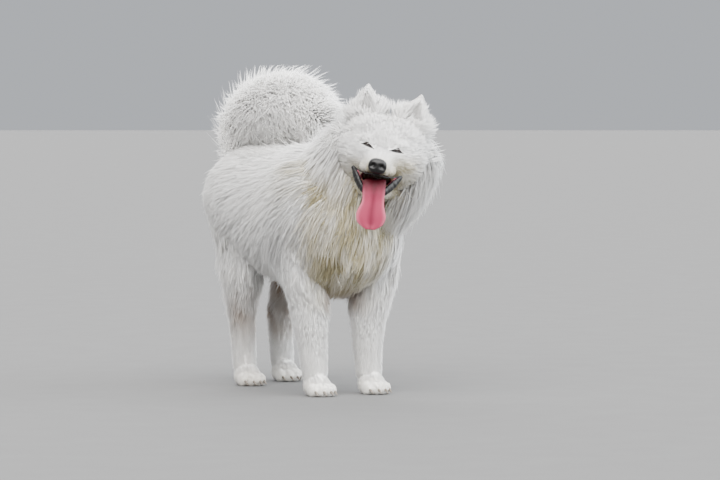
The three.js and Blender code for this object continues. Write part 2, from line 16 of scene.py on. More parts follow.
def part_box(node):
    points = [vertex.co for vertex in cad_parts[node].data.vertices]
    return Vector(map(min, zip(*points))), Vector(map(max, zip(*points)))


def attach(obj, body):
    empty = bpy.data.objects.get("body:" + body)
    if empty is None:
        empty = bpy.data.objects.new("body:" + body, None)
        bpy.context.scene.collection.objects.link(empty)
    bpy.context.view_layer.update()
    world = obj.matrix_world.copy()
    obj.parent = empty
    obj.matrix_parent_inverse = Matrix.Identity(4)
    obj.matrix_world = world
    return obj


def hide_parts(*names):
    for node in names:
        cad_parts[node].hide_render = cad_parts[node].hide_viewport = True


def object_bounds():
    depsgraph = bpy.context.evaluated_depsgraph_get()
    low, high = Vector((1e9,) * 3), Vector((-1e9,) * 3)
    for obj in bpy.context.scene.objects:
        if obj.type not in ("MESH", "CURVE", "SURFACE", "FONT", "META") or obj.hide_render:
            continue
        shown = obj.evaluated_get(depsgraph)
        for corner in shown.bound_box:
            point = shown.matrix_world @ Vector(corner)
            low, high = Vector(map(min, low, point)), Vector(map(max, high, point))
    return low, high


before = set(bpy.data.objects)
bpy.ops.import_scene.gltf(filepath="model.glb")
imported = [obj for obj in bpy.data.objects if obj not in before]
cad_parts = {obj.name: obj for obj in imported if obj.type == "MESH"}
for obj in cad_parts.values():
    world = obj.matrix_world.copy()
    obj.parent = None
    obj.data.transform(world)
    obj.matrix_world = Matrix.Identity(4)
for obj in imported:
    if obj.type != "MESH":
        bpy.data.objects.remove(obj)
cad_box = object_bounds()

MM = 0.001
X_AXIS = np.array((1.0, 0.0, 0.0))
UP = np.array((0.0, 0.0, 1.0))
FORWARD = np.array((0.0, -1.0, 0.0))
SIDES = {"left": 1, "right": -1}
BOTH = tuple(SIDES.values())
SEED = 20

# The body out to the tips of its coat. Trunk sections: y, half width, top, bottom, depth of coat.

TRUNK = (
    (312, 44, 486, 416, 8),
    (300, 80, 520, 384, 22),
    (276, 108, 543, 350, 24),
    (240, 127, 558, 316, 24),
    (190, 136, 566, 290, 24),
    (110, 140, 566, 268, 24),
    (20, 150, 566, 246, 25),
    (-70, 160, 572, 230, 27),
    (-150, 172, 584, 222, 29),
    (-215, 176, 588, 228, 31),
    (-272, 158, 566, 252, 32),
    (-318, 112, 515, 292, 30),
    (-342, 52, 450, 345, 20),
)

# Other tubes: x, y, z, half width, half depth, depth of coat

NECK = (
    (4, -165, 430, 128, 130, 34),
    (24, -218, 462, 142, 142, 36),
    (46, -262, 500, 144, 138, 36),
    (58, -294, 538, 140, 126, 34),
    (62, -313, 574, 130, 102, 28),
    (60, -326, 598, 84, 44, 24),
)
NECK_TURN = -25
FORELEG = (
    (92, -196, 460, 40, 50, 20),
    (108, -195, 400, 74, 80, 22),
    (112, -188, 330, 79, 76, 20),
    (98, -192, 262, 62, 60, 16),
    (83, -200, 200, 46, 48, 12),
    (74, -208, 150, 36, 39, 8),
    (71, -212, 108, 31, 33, 3),
    (70, -218, 62, 27, 29, 0),
    (70, -223, 20, 24, 26, 0),
)
HINDLEG = (
    (68, 178, 510, 24, 50, 12),
    (76, 180, 450, 50, 88, 22),
    (84, 178, 375, 54, 96, 22),
    (84, 158, 300, 50, 88, 20),
    (80, 176, 235, 41, 64, 16),
    (74, 204, 172, 31, 41, 9),
    (70, 204, 112, 26, 31, 3),
    (70, 198, 62, 25, 27, 0),
    (70, 192, 20, 24, 26, 0),
)
HIND_STEP = {"left": 26, "right": -56}
STEP_HEIGHTS = (165, 450)
# How far the top of a foreleg is tucked in under the coat of the shoulder, the heights between which that
# comes in, and how much narrower each mm of it makes the leg
FORE_TUCK = {"left": 4, "right": 22}
TUCK_HEIGHTS = (150, 260)
TUCK_NARROWING = 0.3
TAIL = (
    (0, 228, 500, 40, 40, 14),
    (0, 260, 546, 64, 56, 22),
    (6, 254, 600, 78, 70, 28),
    (20, 202, 632, 88, 86, 32),
    (36, 132, 642, 90, 90, 34),
    (50, 62, 630, 84, 84, 32),
    (62, 6, 612, 58, 60, 22),
)

# Upright guides for the coat of the rump and of the chest

BREECH = (
    (0, 220, 520, 84, 72, 24),
    (0, 222, 470, 100, 94, 26),
    (0, 222, 420, 112, 92, 28),
    (0, 214, 370, 120, 82, 28),
    (0, 204, 320, 122, 66, 26),
)
BIB = (
    (12, -246, 530, 92, 92, 28),
    (8, -242, 470, 104, 108, 28),
    (6, -238, 420, 120, 114, 30),
    (4, -232, 360, 120, 108, 30),
    (2, -222, 300, 112, 88, 30),
    (0, -205, 250, 96, 60, 26),
)

# The head in its own frame, where it looks along -Y

HEAD = {"at": (32, -352, 549), "turn": -31, "nod": 5, "roll": 12}
CRANIUM = (
    (0, 94, 0, 26, 22, 6),
    (0, 78, 1, 64, 56, 18),
    (0, 45, 2, 94, 84, 23),
    (0, 8, 2, 104, 91, 22),
    (0, -22, -2, 95, 79, 11),
    (0, -44, -6, 77, 62, 4),
    (0, -60, -10, 57, 44, 1),
    (0, -73, -12, 40, 30, 1),
)
MUZZLE = (
    (0, -10, -6, 60, 46, 2),
    (0, -50, -5, 49, 39, 2),
    (0, -74, -8, 41, 30, 2),
    (0, -100, -12, 34, 24, 2),
    (0, -124, -14, 28, 19, 1),
    (0, -140, -15, 22, 15, 1),
    (0, -147, -15, 14, 10, 1),
)
JAW = (
    (0, -6, -64, 46, 30, 2),
    (0, -50, -58, 38, 22, 2),
    (0, -85, -51, 29, 15, 2),
    (0, -112, -47, 22, 11, 1),
    (0, -126, -45, 14, 8, 1),
)
JAW_HINGE = (0, 10, -25)
JAW_OPEN = 18
MOUTH = ((0, -20, -50, 30, 8), (0, -60, -50, 34, 18), (0, -100, -56, 30, 24), (0, -150, -66, 30, 40))
EAR = (
    (47, 22, 60, 42, 22),
    (50, 18, 92, 37, 18),
    (56, 13, 122, 22, 12),
    (60, 9, 142, 8, 6),
    (61, 8, 150, 3, 3),
)
EAR_CUP = ((53, -3, 82, 26, 18), (56, -5, 112, 19, 14), (60, -7, 138, 7, 8))
NOSE = {"at": (0, -146, -10.5), "half": (21, 15, 17.5), "nostril": (9, -159, -9)}
# The slant of the eyes is for each side: 1 is left and -1 right. The arch lifts the middle of the slit.
EYE = {"at": (33, -51, 20), "radius": 11, "slit": (14.5, 2.2), "slant": {1: -2, -1: 8}, "arch": 2.4}
# Half of each lip, from the middle to the corner of the mouth: x, y, z, radius
UPPER_LIP = (
    (0, -139, -30, 1.7),
    (16, -134, -32, 1.5),
    (27, -114, -34, 1.5),
    (40, -88, -35, 1.5),
    (54, -66, -31, 1.5),
)
LOWER_LIP = (
    (0, -120, -76, 4),
    (17, -115, -74, 5),
    (30, -98, -66, 6.5),
    (43, -80, -50, 6.5),
    (56, -64, -32, 3),
)
GUM = (
    (0, -112, -74, 3),
    (18, -108, -71, 3.5),
    (29, -93, -62, 4),
    (38, -77, -48, 3),
    (44, -66, -38, 1.5),
)
# Soft forms added to the face on each side: centre and half sizes
FACE_FORMS = (
    ((50, -28, -8), (27, 34, 23)),
    ((32, -44, 33), (22, 13, 8)),
    ((30, 12, 32), (54, 52, 50)),
    ((12, -122, -20), (15, 24, 11)),
    ((26, -94, -21), (14, 34, 12)),
)
TONGUE_ROOT = (0, -62, -54)
TONGUE_BEND = (0, -125, -48)
TONGUE = {"thick": 5, "widths": (22, 25, 26), "hang": 105, "groove": 3.2}
# Shares of the hanging length, how far each lies ahead and to the right of the bend, and half widths
TONGUE_HANG = ((0.22, 12, 1, 25), (0.45, 13, 3, 25), (0.7, 13, 7, 33), (0.88, 11, 8, 28), (1, 9, 9, 11))
PAW = {
    "half": (31, 34, 31),
    "lift": 21,
    "ahead": 8,
    "toes": (-24.5, -8.5, 8.5, 24.5),
    "reach": (25, 37, 37, 25),
}
TOE = {"half": (9.6, 19, 16), "lift": 13}
# A claw: how far ahead of the middle of its toe, how high and how thick
CLAW = ((14, 12, 3.4), (20, 10, 2.72), (29, 4, 0.8))

# Vectors and curves


def unit(vectors):
    return vectors / np.maximum(np.linalg.norm(vectors, axis=-1, keepdims=True), 1e-9)


def dot(a, b):
    return np.sum(a * b, axis=-1, keepdims=True)


def smoothstep(low, high, value):
    t = np.clip((value - low) / (high - low), 0, 1)
    return t * t * (3 - 2 * t)


def spline(rows, count):
    """Catmull-Rom samples through rows of numbers, the same number between each two rows."""
    rows = np.asarray(rows, float)
    last = len(rows) - 1
    place = np.linspace(0, last, count)
    i = np.minimum(place.astype(int), last - 1)
    t = (place - i)[:, None]
    padded = np.vstack([2 * rows[0] - rows[1], rows, 2 * rows[-1] - rows[-2]])
    before, start, end, after = (padded[i + k] for k in range(4))
    leaving, arriving = (end - before) / 2, (after - start) / 2
    curve = (2 * t**3 - 3 * t**2 + 1) * start + (t**3 - 2 * t**2 + t) * leaving
    return curve + (3 * t**2 - 2 * t**3) * end + (t**3 - t**2) * arriving


def rotation(axis, degrees):
    return np.array(Matrix.Rotation(math.radians(degrees), 3, axis))


HEAD_TURN = rotation("Z", HEAD["turn"]) @ rotation("X", HEAD["nod"]) @ rotation("Y", HEAD["roll"])
JAW_TURN = rotation("X", JAW_OPEN)


def from_head(points):
    return np.asarray(points, float) @ HEAD_TURN.T + HEAD["at"]


def to_head(points):
    return (np.asarray(points, float) - HEAD["at"]) @ HEAD_TURN


def open_jaw(points):
    return (np.asarray(points, float) - JAW_HINGE) @ JAW_TURN.T + JAW_HINGE


class Tube:
    """Oval sections along a smooth line, square to it or all square to one facing."""

    def __init__(self, stations, across=X_AXIS, facing=None, samples=121):
        table = spline(stations, samples)
        self.shares = np.linspace(0, 1, samples)
        self.centre = table[:, :3]
        self.size = table[:, 3:5]
        self.depth = table[:, 5] if table.shape[1] > 5 else np.zeros(samples)
        along = unit(np.gradient(self.centre, axis=0))
        self.along = along if facing is None else np.broadcast_to(facing, along.shape)
        self.side = unit(across - dot(self.along, across) * self.along)
        self.front = np.cross(self.along, self.side)
        self.length = np.linalg.norm(np.diff(self.centre, axis=0), axis=1).sum()

    def at(self, table, u):
        return np.stack([np.interp(u, self.shares, column) for column in table.T], axis=-1)

    def coat(self, u):
        return np.interp(u, self.shares, self.depth)

    def radius(self, u):
        return self.at(self.size, u).mean(axis=-1) - self.coat(u)

    def point(self, u, angle, depth):
        """Points at shares u, angles round the tube and depths below the tips of the coat."""
        within = np.clip(u, 0, 1)
        size = self.at(self.size, within)
        past = ((u - within) * self.length)[..., None]
        across = ((size[..., 0] - depth) * np.cos(angle))[..., None]
        ahead = ((size[..., 1] - depth) * np.sin(angle))[..., None]
        centre = self.at(self.centre, within) + self.at(self.along, within) * past
        return centre + self.at(self.side, within) * across + self.at(self.front, within) * ahead

    def outward(self, u, angle):
        """Directions square to the tube's side."""
        within = np.clip(u, 0, 1)
        size = self.at(self.size, within)
        across = (np.cos(angle) / np.maximum(size[..., 0], 1))[..., None]
        ahead = (np.sin(angle) / np.maximum(size[..., 1], 1))[..., None]
        return unit(self.at(self.side, within) * across + self.at(self.front, within) * ahead)

    def holds(self, points, sunk=0.0):
        """Whether each point is deeper than the tube's bare core, by an amount."""
        inside = np.zeros(len(points), bool)
        slices = 60
        for share in np.linspace(0, 1, slices + 1):
            i = int(round(share * (len(self.shares) - 1)))
            offset = points - self.centre[i]
            near = np.abs(offset @ self.along[i]) < self.length / slices
            wide, deep = self.size[i] - self.depth[i] - sunk
            if wide <= 0 or deep <= 0:
                continue
            inside |= near & (np.hypot(offset @ self.side[i] / wide, offset @ self.front[i] / deep) < 1)
        return inside

    def loft(self, rings, sides, bare=True):
        """Points and faces of the tube, out to its coat's tips or bare."""
        u, angle = loft_places(rings, sides)
        points = self.point(u, angle, self.coat(u) if bare else np.zeros(len(u)))
        return np.vstack([points, self.centre[0], self.centre[-1]]), loft_faces(rings, sides)


def loft_places(rings, sides):
    """The share along a tube and the angle round it of each point of a loft."""
    u = np.repeat(np.linspace(0, 1, rings + 1), sides)
    return u, np.tile(np.arange(sides) / sides * 2 * math.pi, rings + 1)


def loft_faces(rings, sides):
    """Faces of a loft whose last two points close its ends."""
    faces = []
    for j in range(sides):
        k = (j + 1) % sides
        faces.append(((rings + 1) * sides, k, j))
        faces.append(((rings + 1) * sides + 1, rings * sides + j, rings * sides + k))
        for i in range(rings):
            faces.append((i * sides + j, i * sides + k, (i + 1) * sides + k, (i + 1) * sides + j))
    return faces


def ball(centre, half, turns=24):
    """Points and faces of an ellipsoid."""
    rings = turns // 2
    lift = np.repeat(np.linspace(-math.pi / 2, math.pi / 2, rings + 1)[1:-1], turns)
    angle = np.tile(np.arange(turns) / turns * 2 * math.pi, rings - 1)
    points = np.stack([np.cos(lift) * np.cos(angle), np.cos(lift) * np.sin(angle), np.sin(lift)], axis=-1)
    points = np.vstack([points, (0, 0, -1), (0, 0, 1)])
    return points * half + centre, loft_faces(rings - 2, turns)


def mirrored(place, side):
    return (side * place[0], *place[1:])


def eye_slope(side):
    """How much the slit of an eye rises for each mm along it."""
    return math.tan(math.radians(side * EYE["slant"][side]))


# Meshes and objects

COLOUR_LAYER = "coat"
SOFTENING = 0.5
eye_box = [np.array(corner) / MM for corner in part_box("eye_left")]
SHIFT = (eye_box[0] + eye_box[1]) / 2 - from_head(EYE["at"])
SHIFT[2] = 0


def placed(points):
    """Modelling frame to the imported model's frame, in metres."""
    return (np.asarray(points, float) + SHIFT) * MM


def unplaced(points):
    """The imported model's frame, in metres, back to the modelling frame."""
    return np.asarray(points, float) / MM - SHIFT


def linked(name, data):
    """A new object in the scene."""
    thing = bpy.data.objects.new(name, data)
    bpy.context.scene.collection.objects.link(thing)
    return thing


def joined(name, shapes):
    """One object of several closed shapes, each given as points and faces."""
    points, faces, start = [], [], 0
    for shape_points, shape_faces in shapes:
        points.append(shape_points)
        faces += [tuple(start + index for index in face) for face in shape_faces]
        start += len(shape_points)
    mesh = bpy.data.meshes.new(name)
    mesh.from_pydata(placed(np.vstack(points)).tolist(), [], faces)
    mesh.update()
    mesh.shade_smooth()
    return linked(name, mesh)


def apply_modifiers(thing):
    """Turns an object's modifiers into its mesh."""
    graph = bpy.context.evaluated_depsgraph_get()
    mesh = bpy.data.meshes.new_from_object(thing.evaluated_get(graph))
    thing.modifiers.clear()
    thing.data = mesh
    return thing


def combine(thing, other, operation):
    """Joins another closed object to one or cuts it away, and removes the other."""
    step = thing.modifiers.new("combine", "BOOLEAN")
    step.operation, step.solver, step.object = operation, "EXACT", other
    apply_modifiers(thing)
    bpy.data.objects.remove(other)


def cut_away(thing, shape):
    combine(thing, joined("cutter", [shape]), "DIFFERENCE")


def smoothed(thing, factor, rounds, group=""):
    """An object smoothed all over, or as much as a group of its vertices says."""
    soften = thing.modifiers.new("soften", "SMOOTH")
    soften.factor, soften.iterations, soften.vertex_group = factor, rounds, group
    return apply_modifiers(thing)


def remeshed(thing, voxel, rounds):
    """One closed surface round all of an object's shapes."""
    remesh = thing.modifiers.new("remesh", "REMESH")
    remesh.mode, remesh.voxel_size, remesh.use_smooth_shade = "VOXEL", voxel * MM, True
    return smoothed(thing, SOFTENING, rounds)


def vertices_of(thing):
    points = np.zeros(len(thing.data.vertices) * 3)
    thing.data.vertices.foreach_get("co", points)
    return unplaced(points.reshape(-1, 3))


def paint(thing, colours):
    """Stores a colour for each vertex."""
    attribute = thing.data.color_attributes.new(COLOUR_LAYER, "FLOAT_COLOR", "POINT")
    rgba = np.hstack([colours, np.ones((len(colours), 1))])
    attribute.data.foreach_set("color", rgba.ravel())


# The tubes of the body


def leg_stations(stations, side, step, tuck):
    """A leg's stations on one side, with its foot a step back and its top tucked in."""
    rows = []
    for x, y, z, wide, deep, coat in stations:
        share = np.interp(z, STEP_HEIGHTS, (1, 0))
        inward = tuck * np.interp(z, TUCK_HEIGHTS, (0, 1))
        rows.append((side * (x - inward), y + step * share, z, wide - TUCK_NARROWING * inward, deep, coat))
    return rows


trunk = Tube(
    [(0, y, (top + low) / 2, wide, (top - low) / 2, coat) for y, wide, top, low, coat in TRUNK],
    facing=FORWARD,
)
neck = Tube(NECK, across=rotation("Z", NECK_TURN) @ X_AXIS)
tail = Tube(TAIL)
breech = Tube(BREECH, facing=-UP)
bib = Tube(BIB, facing=-UP)
cranium = Tube(CRANIUM, facing=FORWARD)
muzzle = Tube(MUZZLE, facing=FORWARD)
mouth = Tube(MOUTH, facing=FORWARD)
legs = {}
for where, side in SIDES.items():
    legs["foreleg_" + where] = Tube(leg_stations(FORELEG, side, 0, FORE_TUCK[where]), facing=-UP)
    legs["hindleg_" + where] = Tube(leg_stations(HINDLEG, side, HIND_STEP[where], 0), facing=-UP)

# The skin: the body and the head as one closed surface

SOLE = 0.4  # how far the soles are above the floor
SHOULDER = ((94, -216, 350), (58, 50, 84))  # fills the crease between a foreleg and the chest
BODY_VOXEL = 4.7
ROUGH_HEAD_VOXEL = 2.5
HEAD_VOXEL = 2.0
# Folds between the tubes of the body are smoothed away, more and more between these heights
FOLDS = {"heights": (190, 300), "factor": 0.6, "rounds": 90}
SLIT_DEPTH = 16


def paw_middle(leg):
    x, y, _ = leg.centre[-1]
    return x, y - PAW["ahead"]


def toe_places(leg):
    """The x and y of the middle of each toe."""
    x, y = paw_middle(leg)
    return [(x + across, y - reach) for across, reach in zip(PAW["toes"], PAW["reach"])]


def paw_shapes(leg):
    shapes = [ball((*paw_middle(leg), PAW["lift"]), PAW["half"])]
    return shapes + [ball((*toe, TOE["lift"]), TOE["half"]) for toe in toe_places(leg)]


def body_skin():
    """The skin of trunk, neck, tail and legs."""
    shapes = [trunk.loft(48, 64), neck.loft(30, 64), tail.loft(40, 40)]
    shapes += [ball(mirrored(SHOULDER[0], side), SHOULDER[1]) for side in BOTH]
    for leg in legs.values():
        shapes += [leg.loft(48, 36), *paw_shapes(leg)]
    body = remeshed(joined("skin", shapes), BODY_VOXEL, 4)
    folds = body.vertex_groups.new(name="folds")
    for i, share in enumerate(smoothstep(*FOLDS["heights"], vertices_of(body)[:, 2])):
        folds.add([i], share, "REPLACE")
    return smoothed(body, FOLDS["factor"], FOLDS["rounds"], "folds")


def in_head(shape):
    return from_head(shape[0]), shape[1]


def ear_tube(stations, side):
    return Tube([mirrored(row, side) for row in stations], facing=UP)


def ear_shape(stations, side):
    return in_head(ear_tube(stations, side).loft(16, 32, bare=False))


def slit_shape(side):
    """What is cut out between the lids of one eye."""
    wide, high = EYE["slit"]
    points, faces = ball((0, -EYE["radius"], 0), (wide, SLIT_DEPTH, high))
    points[:, 2] += EYE["arch"] * (1 - (points[:, 0] / wide) ** 2)
    points = points @ rotation("Y", -side * EYE["slant"][side]).T + mirrored(EYE["at"], side)
    return from_head(points), faces


def head_skin():
    """The skin of the head, with the mouth, the cups of the ears and the slits of the eyes cut into it."""
    shapes = [in_head(cranium.loft(30, 64)), in_head(muzzle.loft(24, 48))]
    for side in BOTH:
        shapes += [in_head(ball(mirrored(at, side), half)) for at, half in FACE_FORMS]
        shapes.append(ear_shape(EAR, side))
    head = remeshed(joined("head", shapes), ROUGH_HEAD_VOXEL, 3)
    cut_away(head, in_head(mouth.loft(16, 32, bare=False)))
    points, faces = Tube(JAW, facing=FORWARD).loft(20, 40)
    jaw = joined("jaw", [(from_head(open_jaw(points)), faces)])
    with bpy.context.temp_override(active_object=head, selected_editable_objects=[head, jaw]):
        bpy.ops.object.join()
    remeshed(head, HEAD_VOXEL, 2)
    for side in BOTH:
        cut_away(head, ear_shape(EAR_CUP, side))
        cut_away(head, slit_shape(side))
    return head


skin = body_skin()
head = head_skin()
head_tree = BVHTree.FromObject(head, bpy.context.evaluated_depsgraph_get())
combine(skin, head, "UNION")
skin.data.shade_smooth()
skin_points = vertices_of(skin)
skin_points[:, 2] = np.maximum(skin_points[:, 2], SOLE)
skin.data.vertices.foreach_set("co", placed(skin_points).ravel())
skin_tree = BVHTree.FromObject(skin, bpy.context.evaluated_depsgraph_get())

# Colours of the skin and the coat, by place

WHITE = np.array((0.90, 0.89, 0.875))
CREAM = np.array((0.57, 0.49, 0.29))
OLIVE = np.array((0.26, 0.21, 0.09))
# The brown of the painted shade between the legs and under the belly
SHADE_BROWN = np.array((0.23, 0.13, 0.06))
PINK = np.array((0.60, 0.44, 0.41))
MOUTH_RED = np.array((0.16, 0.022, 0.022))
BLACK = np.array((0.012, 0.011, 0.011))
# Staining and painted shade of the coat: the chest's staining, which also paints the shade under the head,
# painted shade between the forelegs, between the hind legs and under the belly, and the feet's cream
# staining.
# Along each axis they start at the first place and are full at the second, and x is counted to both sides
# from the middle.
STAINS_AND_SHADE = {
    "chest": (("y", -205, -280), ("z", 560, 500), ("z", 205, 245), ("x", 112, 62)),
    "low_chest": (("y", -60, -140), ("z", 318, 262), ("z", 190, 240), ("x", 74, 44)),
    "thigh": (("y", 60, 120), ("z", 370, 310), ("z", 80, 180), ("x", 114, 78)),
    "belly": (("z", 270, 235), ("y", -150, -60), ("y", 160, 80)),
    "foot": (("z", 60, 15),),
}
CHEST_MIDDLE = -14
# Strengths: olive on the chest, painted shade of low chest, thighs and belly, and the feet's cream staining
STAIN_AND_SHADE_SHARES = {"olive": 0.8, "low_chest": 0.75, "thigh": 0.75, "belly": 0.25, "foot": 0.2}
# Sizes of the blotches in the white, on the chest and on the thighs, in mm
BLOTCHES = {"white": 150, "chest": 46, "thigh": 60}
# Painted shade round each eye: half width and height, lift, how much darker, and the y it lies ahead of
EYE_SHADE = {"half": (24, 11), "raised": 1, "share": 0.35, "ahead_of": -30}
UNDER_NOSE = {"at": (0, -143, -24), "stretch": (0.7, 1, 1.2), "fade": (20, 10), "share": 0.72}
# How far round the mouth and the cups of the ears their own colours reach, where the mouth's ends in
# front, and how strong the pink of a cup is and the heights between which it comes in
MOUTH_MARGIN = 2.0
CUP_MARGIN = 2.5
MOUTH_FRONT = -128
CUP_PINK = {"share": 0.3, "heights": (104, 84)}
SKIN_SHADE = 0.9


def share_in(region, points, middle=0.0):
    """How far each place is inside a region, from 0 to 1."""
    x, y, z = points.T
    axes = {"x": np.abs(x - middle), "y": y, "z": z}
    return np.prod([smoothstep(start, full, axes[axis]) for axis, start, full in region], axis=0)


def lumps(points, size, seed):
    """Soft blotches between -1 and 1, from a few waves that cross."""
    draw = np.random.default_rng(seed)
    total = np.zeros(len(points))
    for _ in range(6):
        way = unit(draw.normal(size=3)) * 2 * math.pi / (size * draw.uniform(0.6, 1.6))
        total += np.sin(points @ way + draw.uniform(0, 2 * math.pi))
    return total / 3


def mix(base, other, share):
    return base + (other - base) * np.clip(share, 0, 1)[:, None]


def coat_colour(points, stray=0.5):
    """White, with cream and olive staining and painted shade on the chest, and painted brown shade between
    the legs.
    """

    def stain_and_shade(name):
        return STAIN_AND_SHADE_SHARES[name] * share_in(STAINS_AND_SHADE[name], points)

    chest = share_in(STAINS_AND_SHADE["chest"], points, CHEST_MIDDLE)
    blotch = 0.55 + 0.4 * lumps(points, BLOTCHES["chest"], 2) + 0.5 * (stray - 0.5)
    uneven = 0.75 + 0.5 * lumps(points, BLOTCHES["thigh"], 3)
    colour = np.repeat(WHITE[None], len(points), axis=0)
    colour = mix(colour, CREAM, 0.03 + 0.03 * lumps(points, BLOTCHES["white"], 1))
    # Cream and olive on the chest: its staining in blotches, and painted shade under the head
    colour = mix(colour, CREAM, chest * np.clip(blotch + 0.3, 0.55, 1))
    colour = mix(colour, OLIVE, STAIN_AND_SHADE_SHARES["olive"] * chest * smoothstep(0.45, 0.95, blotch))
    # Painted brown shade between the forelegs, between the hind legs and under the belly
    colour = mix(colour, SHADE_BROWN, stain_and_shade("low_chest"))
    colour = mix(colour, SHADE_BROWN, stain_and_shade("thigh") * uneven)
    colour = mix(colour, SHADE_BROWN, stain_and_shade("belly"))
    local = to_head(points)
    # Painted shade round the sunk eyes
    wide, high = EYE_SHADE["half"]
    for side in BOTH:
        x, _, z = (local - mirrored(EYE["at"], side)).T
        near = smoothstep(1.0, 0.4, np.hypot(x / wide, (z - EYE_SHADE["raised"]) / high))
        near *= local[:, 1] < EYE_SHADE["ahead_of"]
        colour = colour * (1 - EYE_SHADE["share"] * near[:, None])
    from_nose = np.linalg.norm((local - UNDER_NOSE["at"]) * UNDER_NOSE["stretch"], axis=1)
    colour = mix(colour, BLACK, UNDER_NOSE["share"] * smoothstep(*UNDER_NOSE["fade"], from_nose))
    return mix(colour, CREAM, stain_and_shade("foot"))


def skin_colour(points):
    """The skin has its coat's colour, pink inside the ears and dark red inside the mouth."""
    colour = coat_colour(points) * SKIN_SHADE
    local = to_head(points)
    for side in BOTH:
        cup = ear_tube(EAR_CUP, side).holds(local, -CUP_MARGIN)
        colour = mix(colour, PINK, CUP_PINK["share"] * cup * smoothstep(*CUP_PINK["heights"], local[:, 2]))
    inside = mouth.holds(local, -MOUTH_MARGIN) & (local[:, 1] > MOUTH_FRONT)
    return mix(colour, MOUTH_RED, inside.astype(float))


paint(skin, skin_colour(vertices_of(skin)))

# Materials

# What each material sets on its shader, its grain, as the noise's scale and detail and the bump's strength
# and distance, how dark and light the noise makes it, and its colour, or None where that is stored
HAIR = {
    "Roughness": 0.62,
    "Specular IOR Level": 0.2,
    "Sheen Weight": 0.2,
    "Sheen Roughness": 0.5,
    "Subsurface Weight": 0.85,
    "Subsurface Radius": (1, 1, 1),
    "Subsurface Scale": 0.015,
}
SKIN = {"Roughness": 0.7, "Specular IOR Level": 0.3}
LEATHER = {"Roughness": 0.34, "Specular IOR Level": 0.28, "Coat Weight": 0.08, "Coat Roughness": 0.08}
EYEBALL = {"Roughness": 0.22, "Specular IOR Level": 0.15}
HORN = {"Roughness": 0.4, "Coat Weight": 0.2, "Coat Roughness": 0.08}
FLESH = {"Roughness": 0.5, "Specular IOR Level": 0.12}
FLOOR = {"Roughness": 0.85, "Specular IOR Level": 0.2}
MATERIALS = {
    "coat_hair": (HAIR, (900, 4, 0.2, 0.0006), (0.9, 1.06), None),
    "skin_under_coat": (SKIN, (420, 4, 0.5, 0.0015), (0.9, 1.06), None),
    "nose_and_lips": (LEATHER, (1100, 2, 0.5, 0.0008), (0.7, 1.5), BLACK / 2),
    "eye": (EYEBALL, (300, 4, 0.1, 0.0002), (0.6, 1.6), (0.008, 0.005, 0.004)),
    "claw": (HORN, (500, 4, 0.3, 0.0004), (0.7, 1.3), (0.11, 0.09, 0.07)),
    "tongue": (FLESH, (1500, 4, 0.35, 0.0006), (0.9, 1.06), None),
    "pale_floor": (FLOOR, (9, 4, 0.1, 0.002), (0.97, 1.03), (0.11, 0.11, 0.11)),
}
MATTE_SPREAD = (0.85, 1.15)


def material(name):
    """A material whose grain bumps the surface and varies its colour and roughness."""
    settings, (scale, detail, strength, distance), tints, colour = MATERIALS[name]
    made = bpy.data.materials.new(name)
    made.use_nodes = True
    nodes, links = made.node_tree.nodes, made.node_tree.links
    shader = nodes["Principled BSDF"]
    for socket, value in settings.items():
        shader.inputs[socket].default_value = value
    place = nodes.new("ShaderNodeTexCoord")
    noise = nodes.new("ShaderNodeTexNoise")
    noise.inputs["Scale"].default_value = scale
    noise.inputs["Detail"].default_value = detail
    links.new(place.outputs["Object"], noise.inputs["Vector"])
    bump = nodes.new("ShaderNodeBump")
    bump.inputs["Strength"].default_value = strength
    bump.inputs["Distance"].default_value = distance
    links.new(noise.outputs["Fac"], bump.inputs["Height"])
    links.new(bump.outputs["Normal"], shader.inputs["Normal"])

    def varied(low, high):
        spread = nodes.new("ShaderNodeMapRange")
        spread.inputs["To Min"].default_value = low
        spread.inputs["To Max"].default_value = high
        links.new(noise.outputs["Fac"], spread.inputs["Value"])
        return spread.outputs["Result"]

    tint = nodes.new("ShaderNodeVectorMath")
    tint.operation = "SCALE"
    if colour is None:
        stored = nodes.new("ShaderNodeAttribute")
        stored.attribute_name = COLOUR_LAYER
        links.new(stored.outputs["Color"], tint.inputs[0])
    else:
        tint.inputs[0].default_value = colour
    links.new(varied(*tints), tint.inputs["Scale"])
    links.new(tint.outputs["Vector"], shader.inputs["Base Color"])
    low, high = (share * settings["Roughness"] for share in MATTE_SPREAD)
    links.new(varied(low, min(1, high)), shader.inputs["Roughness"])
    return made


coat_material = material("coat_hair")
skin_material = material("skin_under_coat")
leather_material = material("nose_and_lips")
eye_material = material("eye")
claw_material = material("claw")
tongue_material = material("tongue")


def finish_piece(thing, made, nodes=()):
    thing.data.materials.clear()
    thing.data.materials.append(made)
    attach(thing, "root")
    if nodes:
        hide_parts(*nodes)
    return thing


FLESH_NODES = ["head", "jaw", "neck", "torso", "tail_base", "tail_plume"]
for where in SIDES:
    FLESH_NODES += [part + where for part in ("ear_", "foreleg_", "forepaw_", "hindleg_", "hindpaw_")]
finish_piece(skin, skin_material, FLESH_NODES)

# Nose, lips, eyes, tongue and claws

# Dents round each nostril: how far aside as a share of the nostril's own place, how far below it, half
# width, half height and depth
NOSTRIL_DENTS = ((1.0, 0.0, 4.2, 4.0, 8.5), (1.6, 3.5, 4.5, 1.8, 4.0))
NOSE_SQUARENESS = 0.82
NOSE_GROOVE = {"half": 1.3, "depth": 2.4, "heights": (2, -8)}
LIP_WAVES = ((1.3, 0), (0.83, 1), (2.3, 0))
# The edges of the lids: how far they go past the slit and over it, how far aside the face is felt, how far
# they are sunk in it, and their radius at the corners and what the middle adds
LID = {"past": 1.12, "over": 0.2, "aside": 1.5, "sunk": 0.6, "radius": 0.8, "swell": 0.8}
BEFORE_FACE = -220


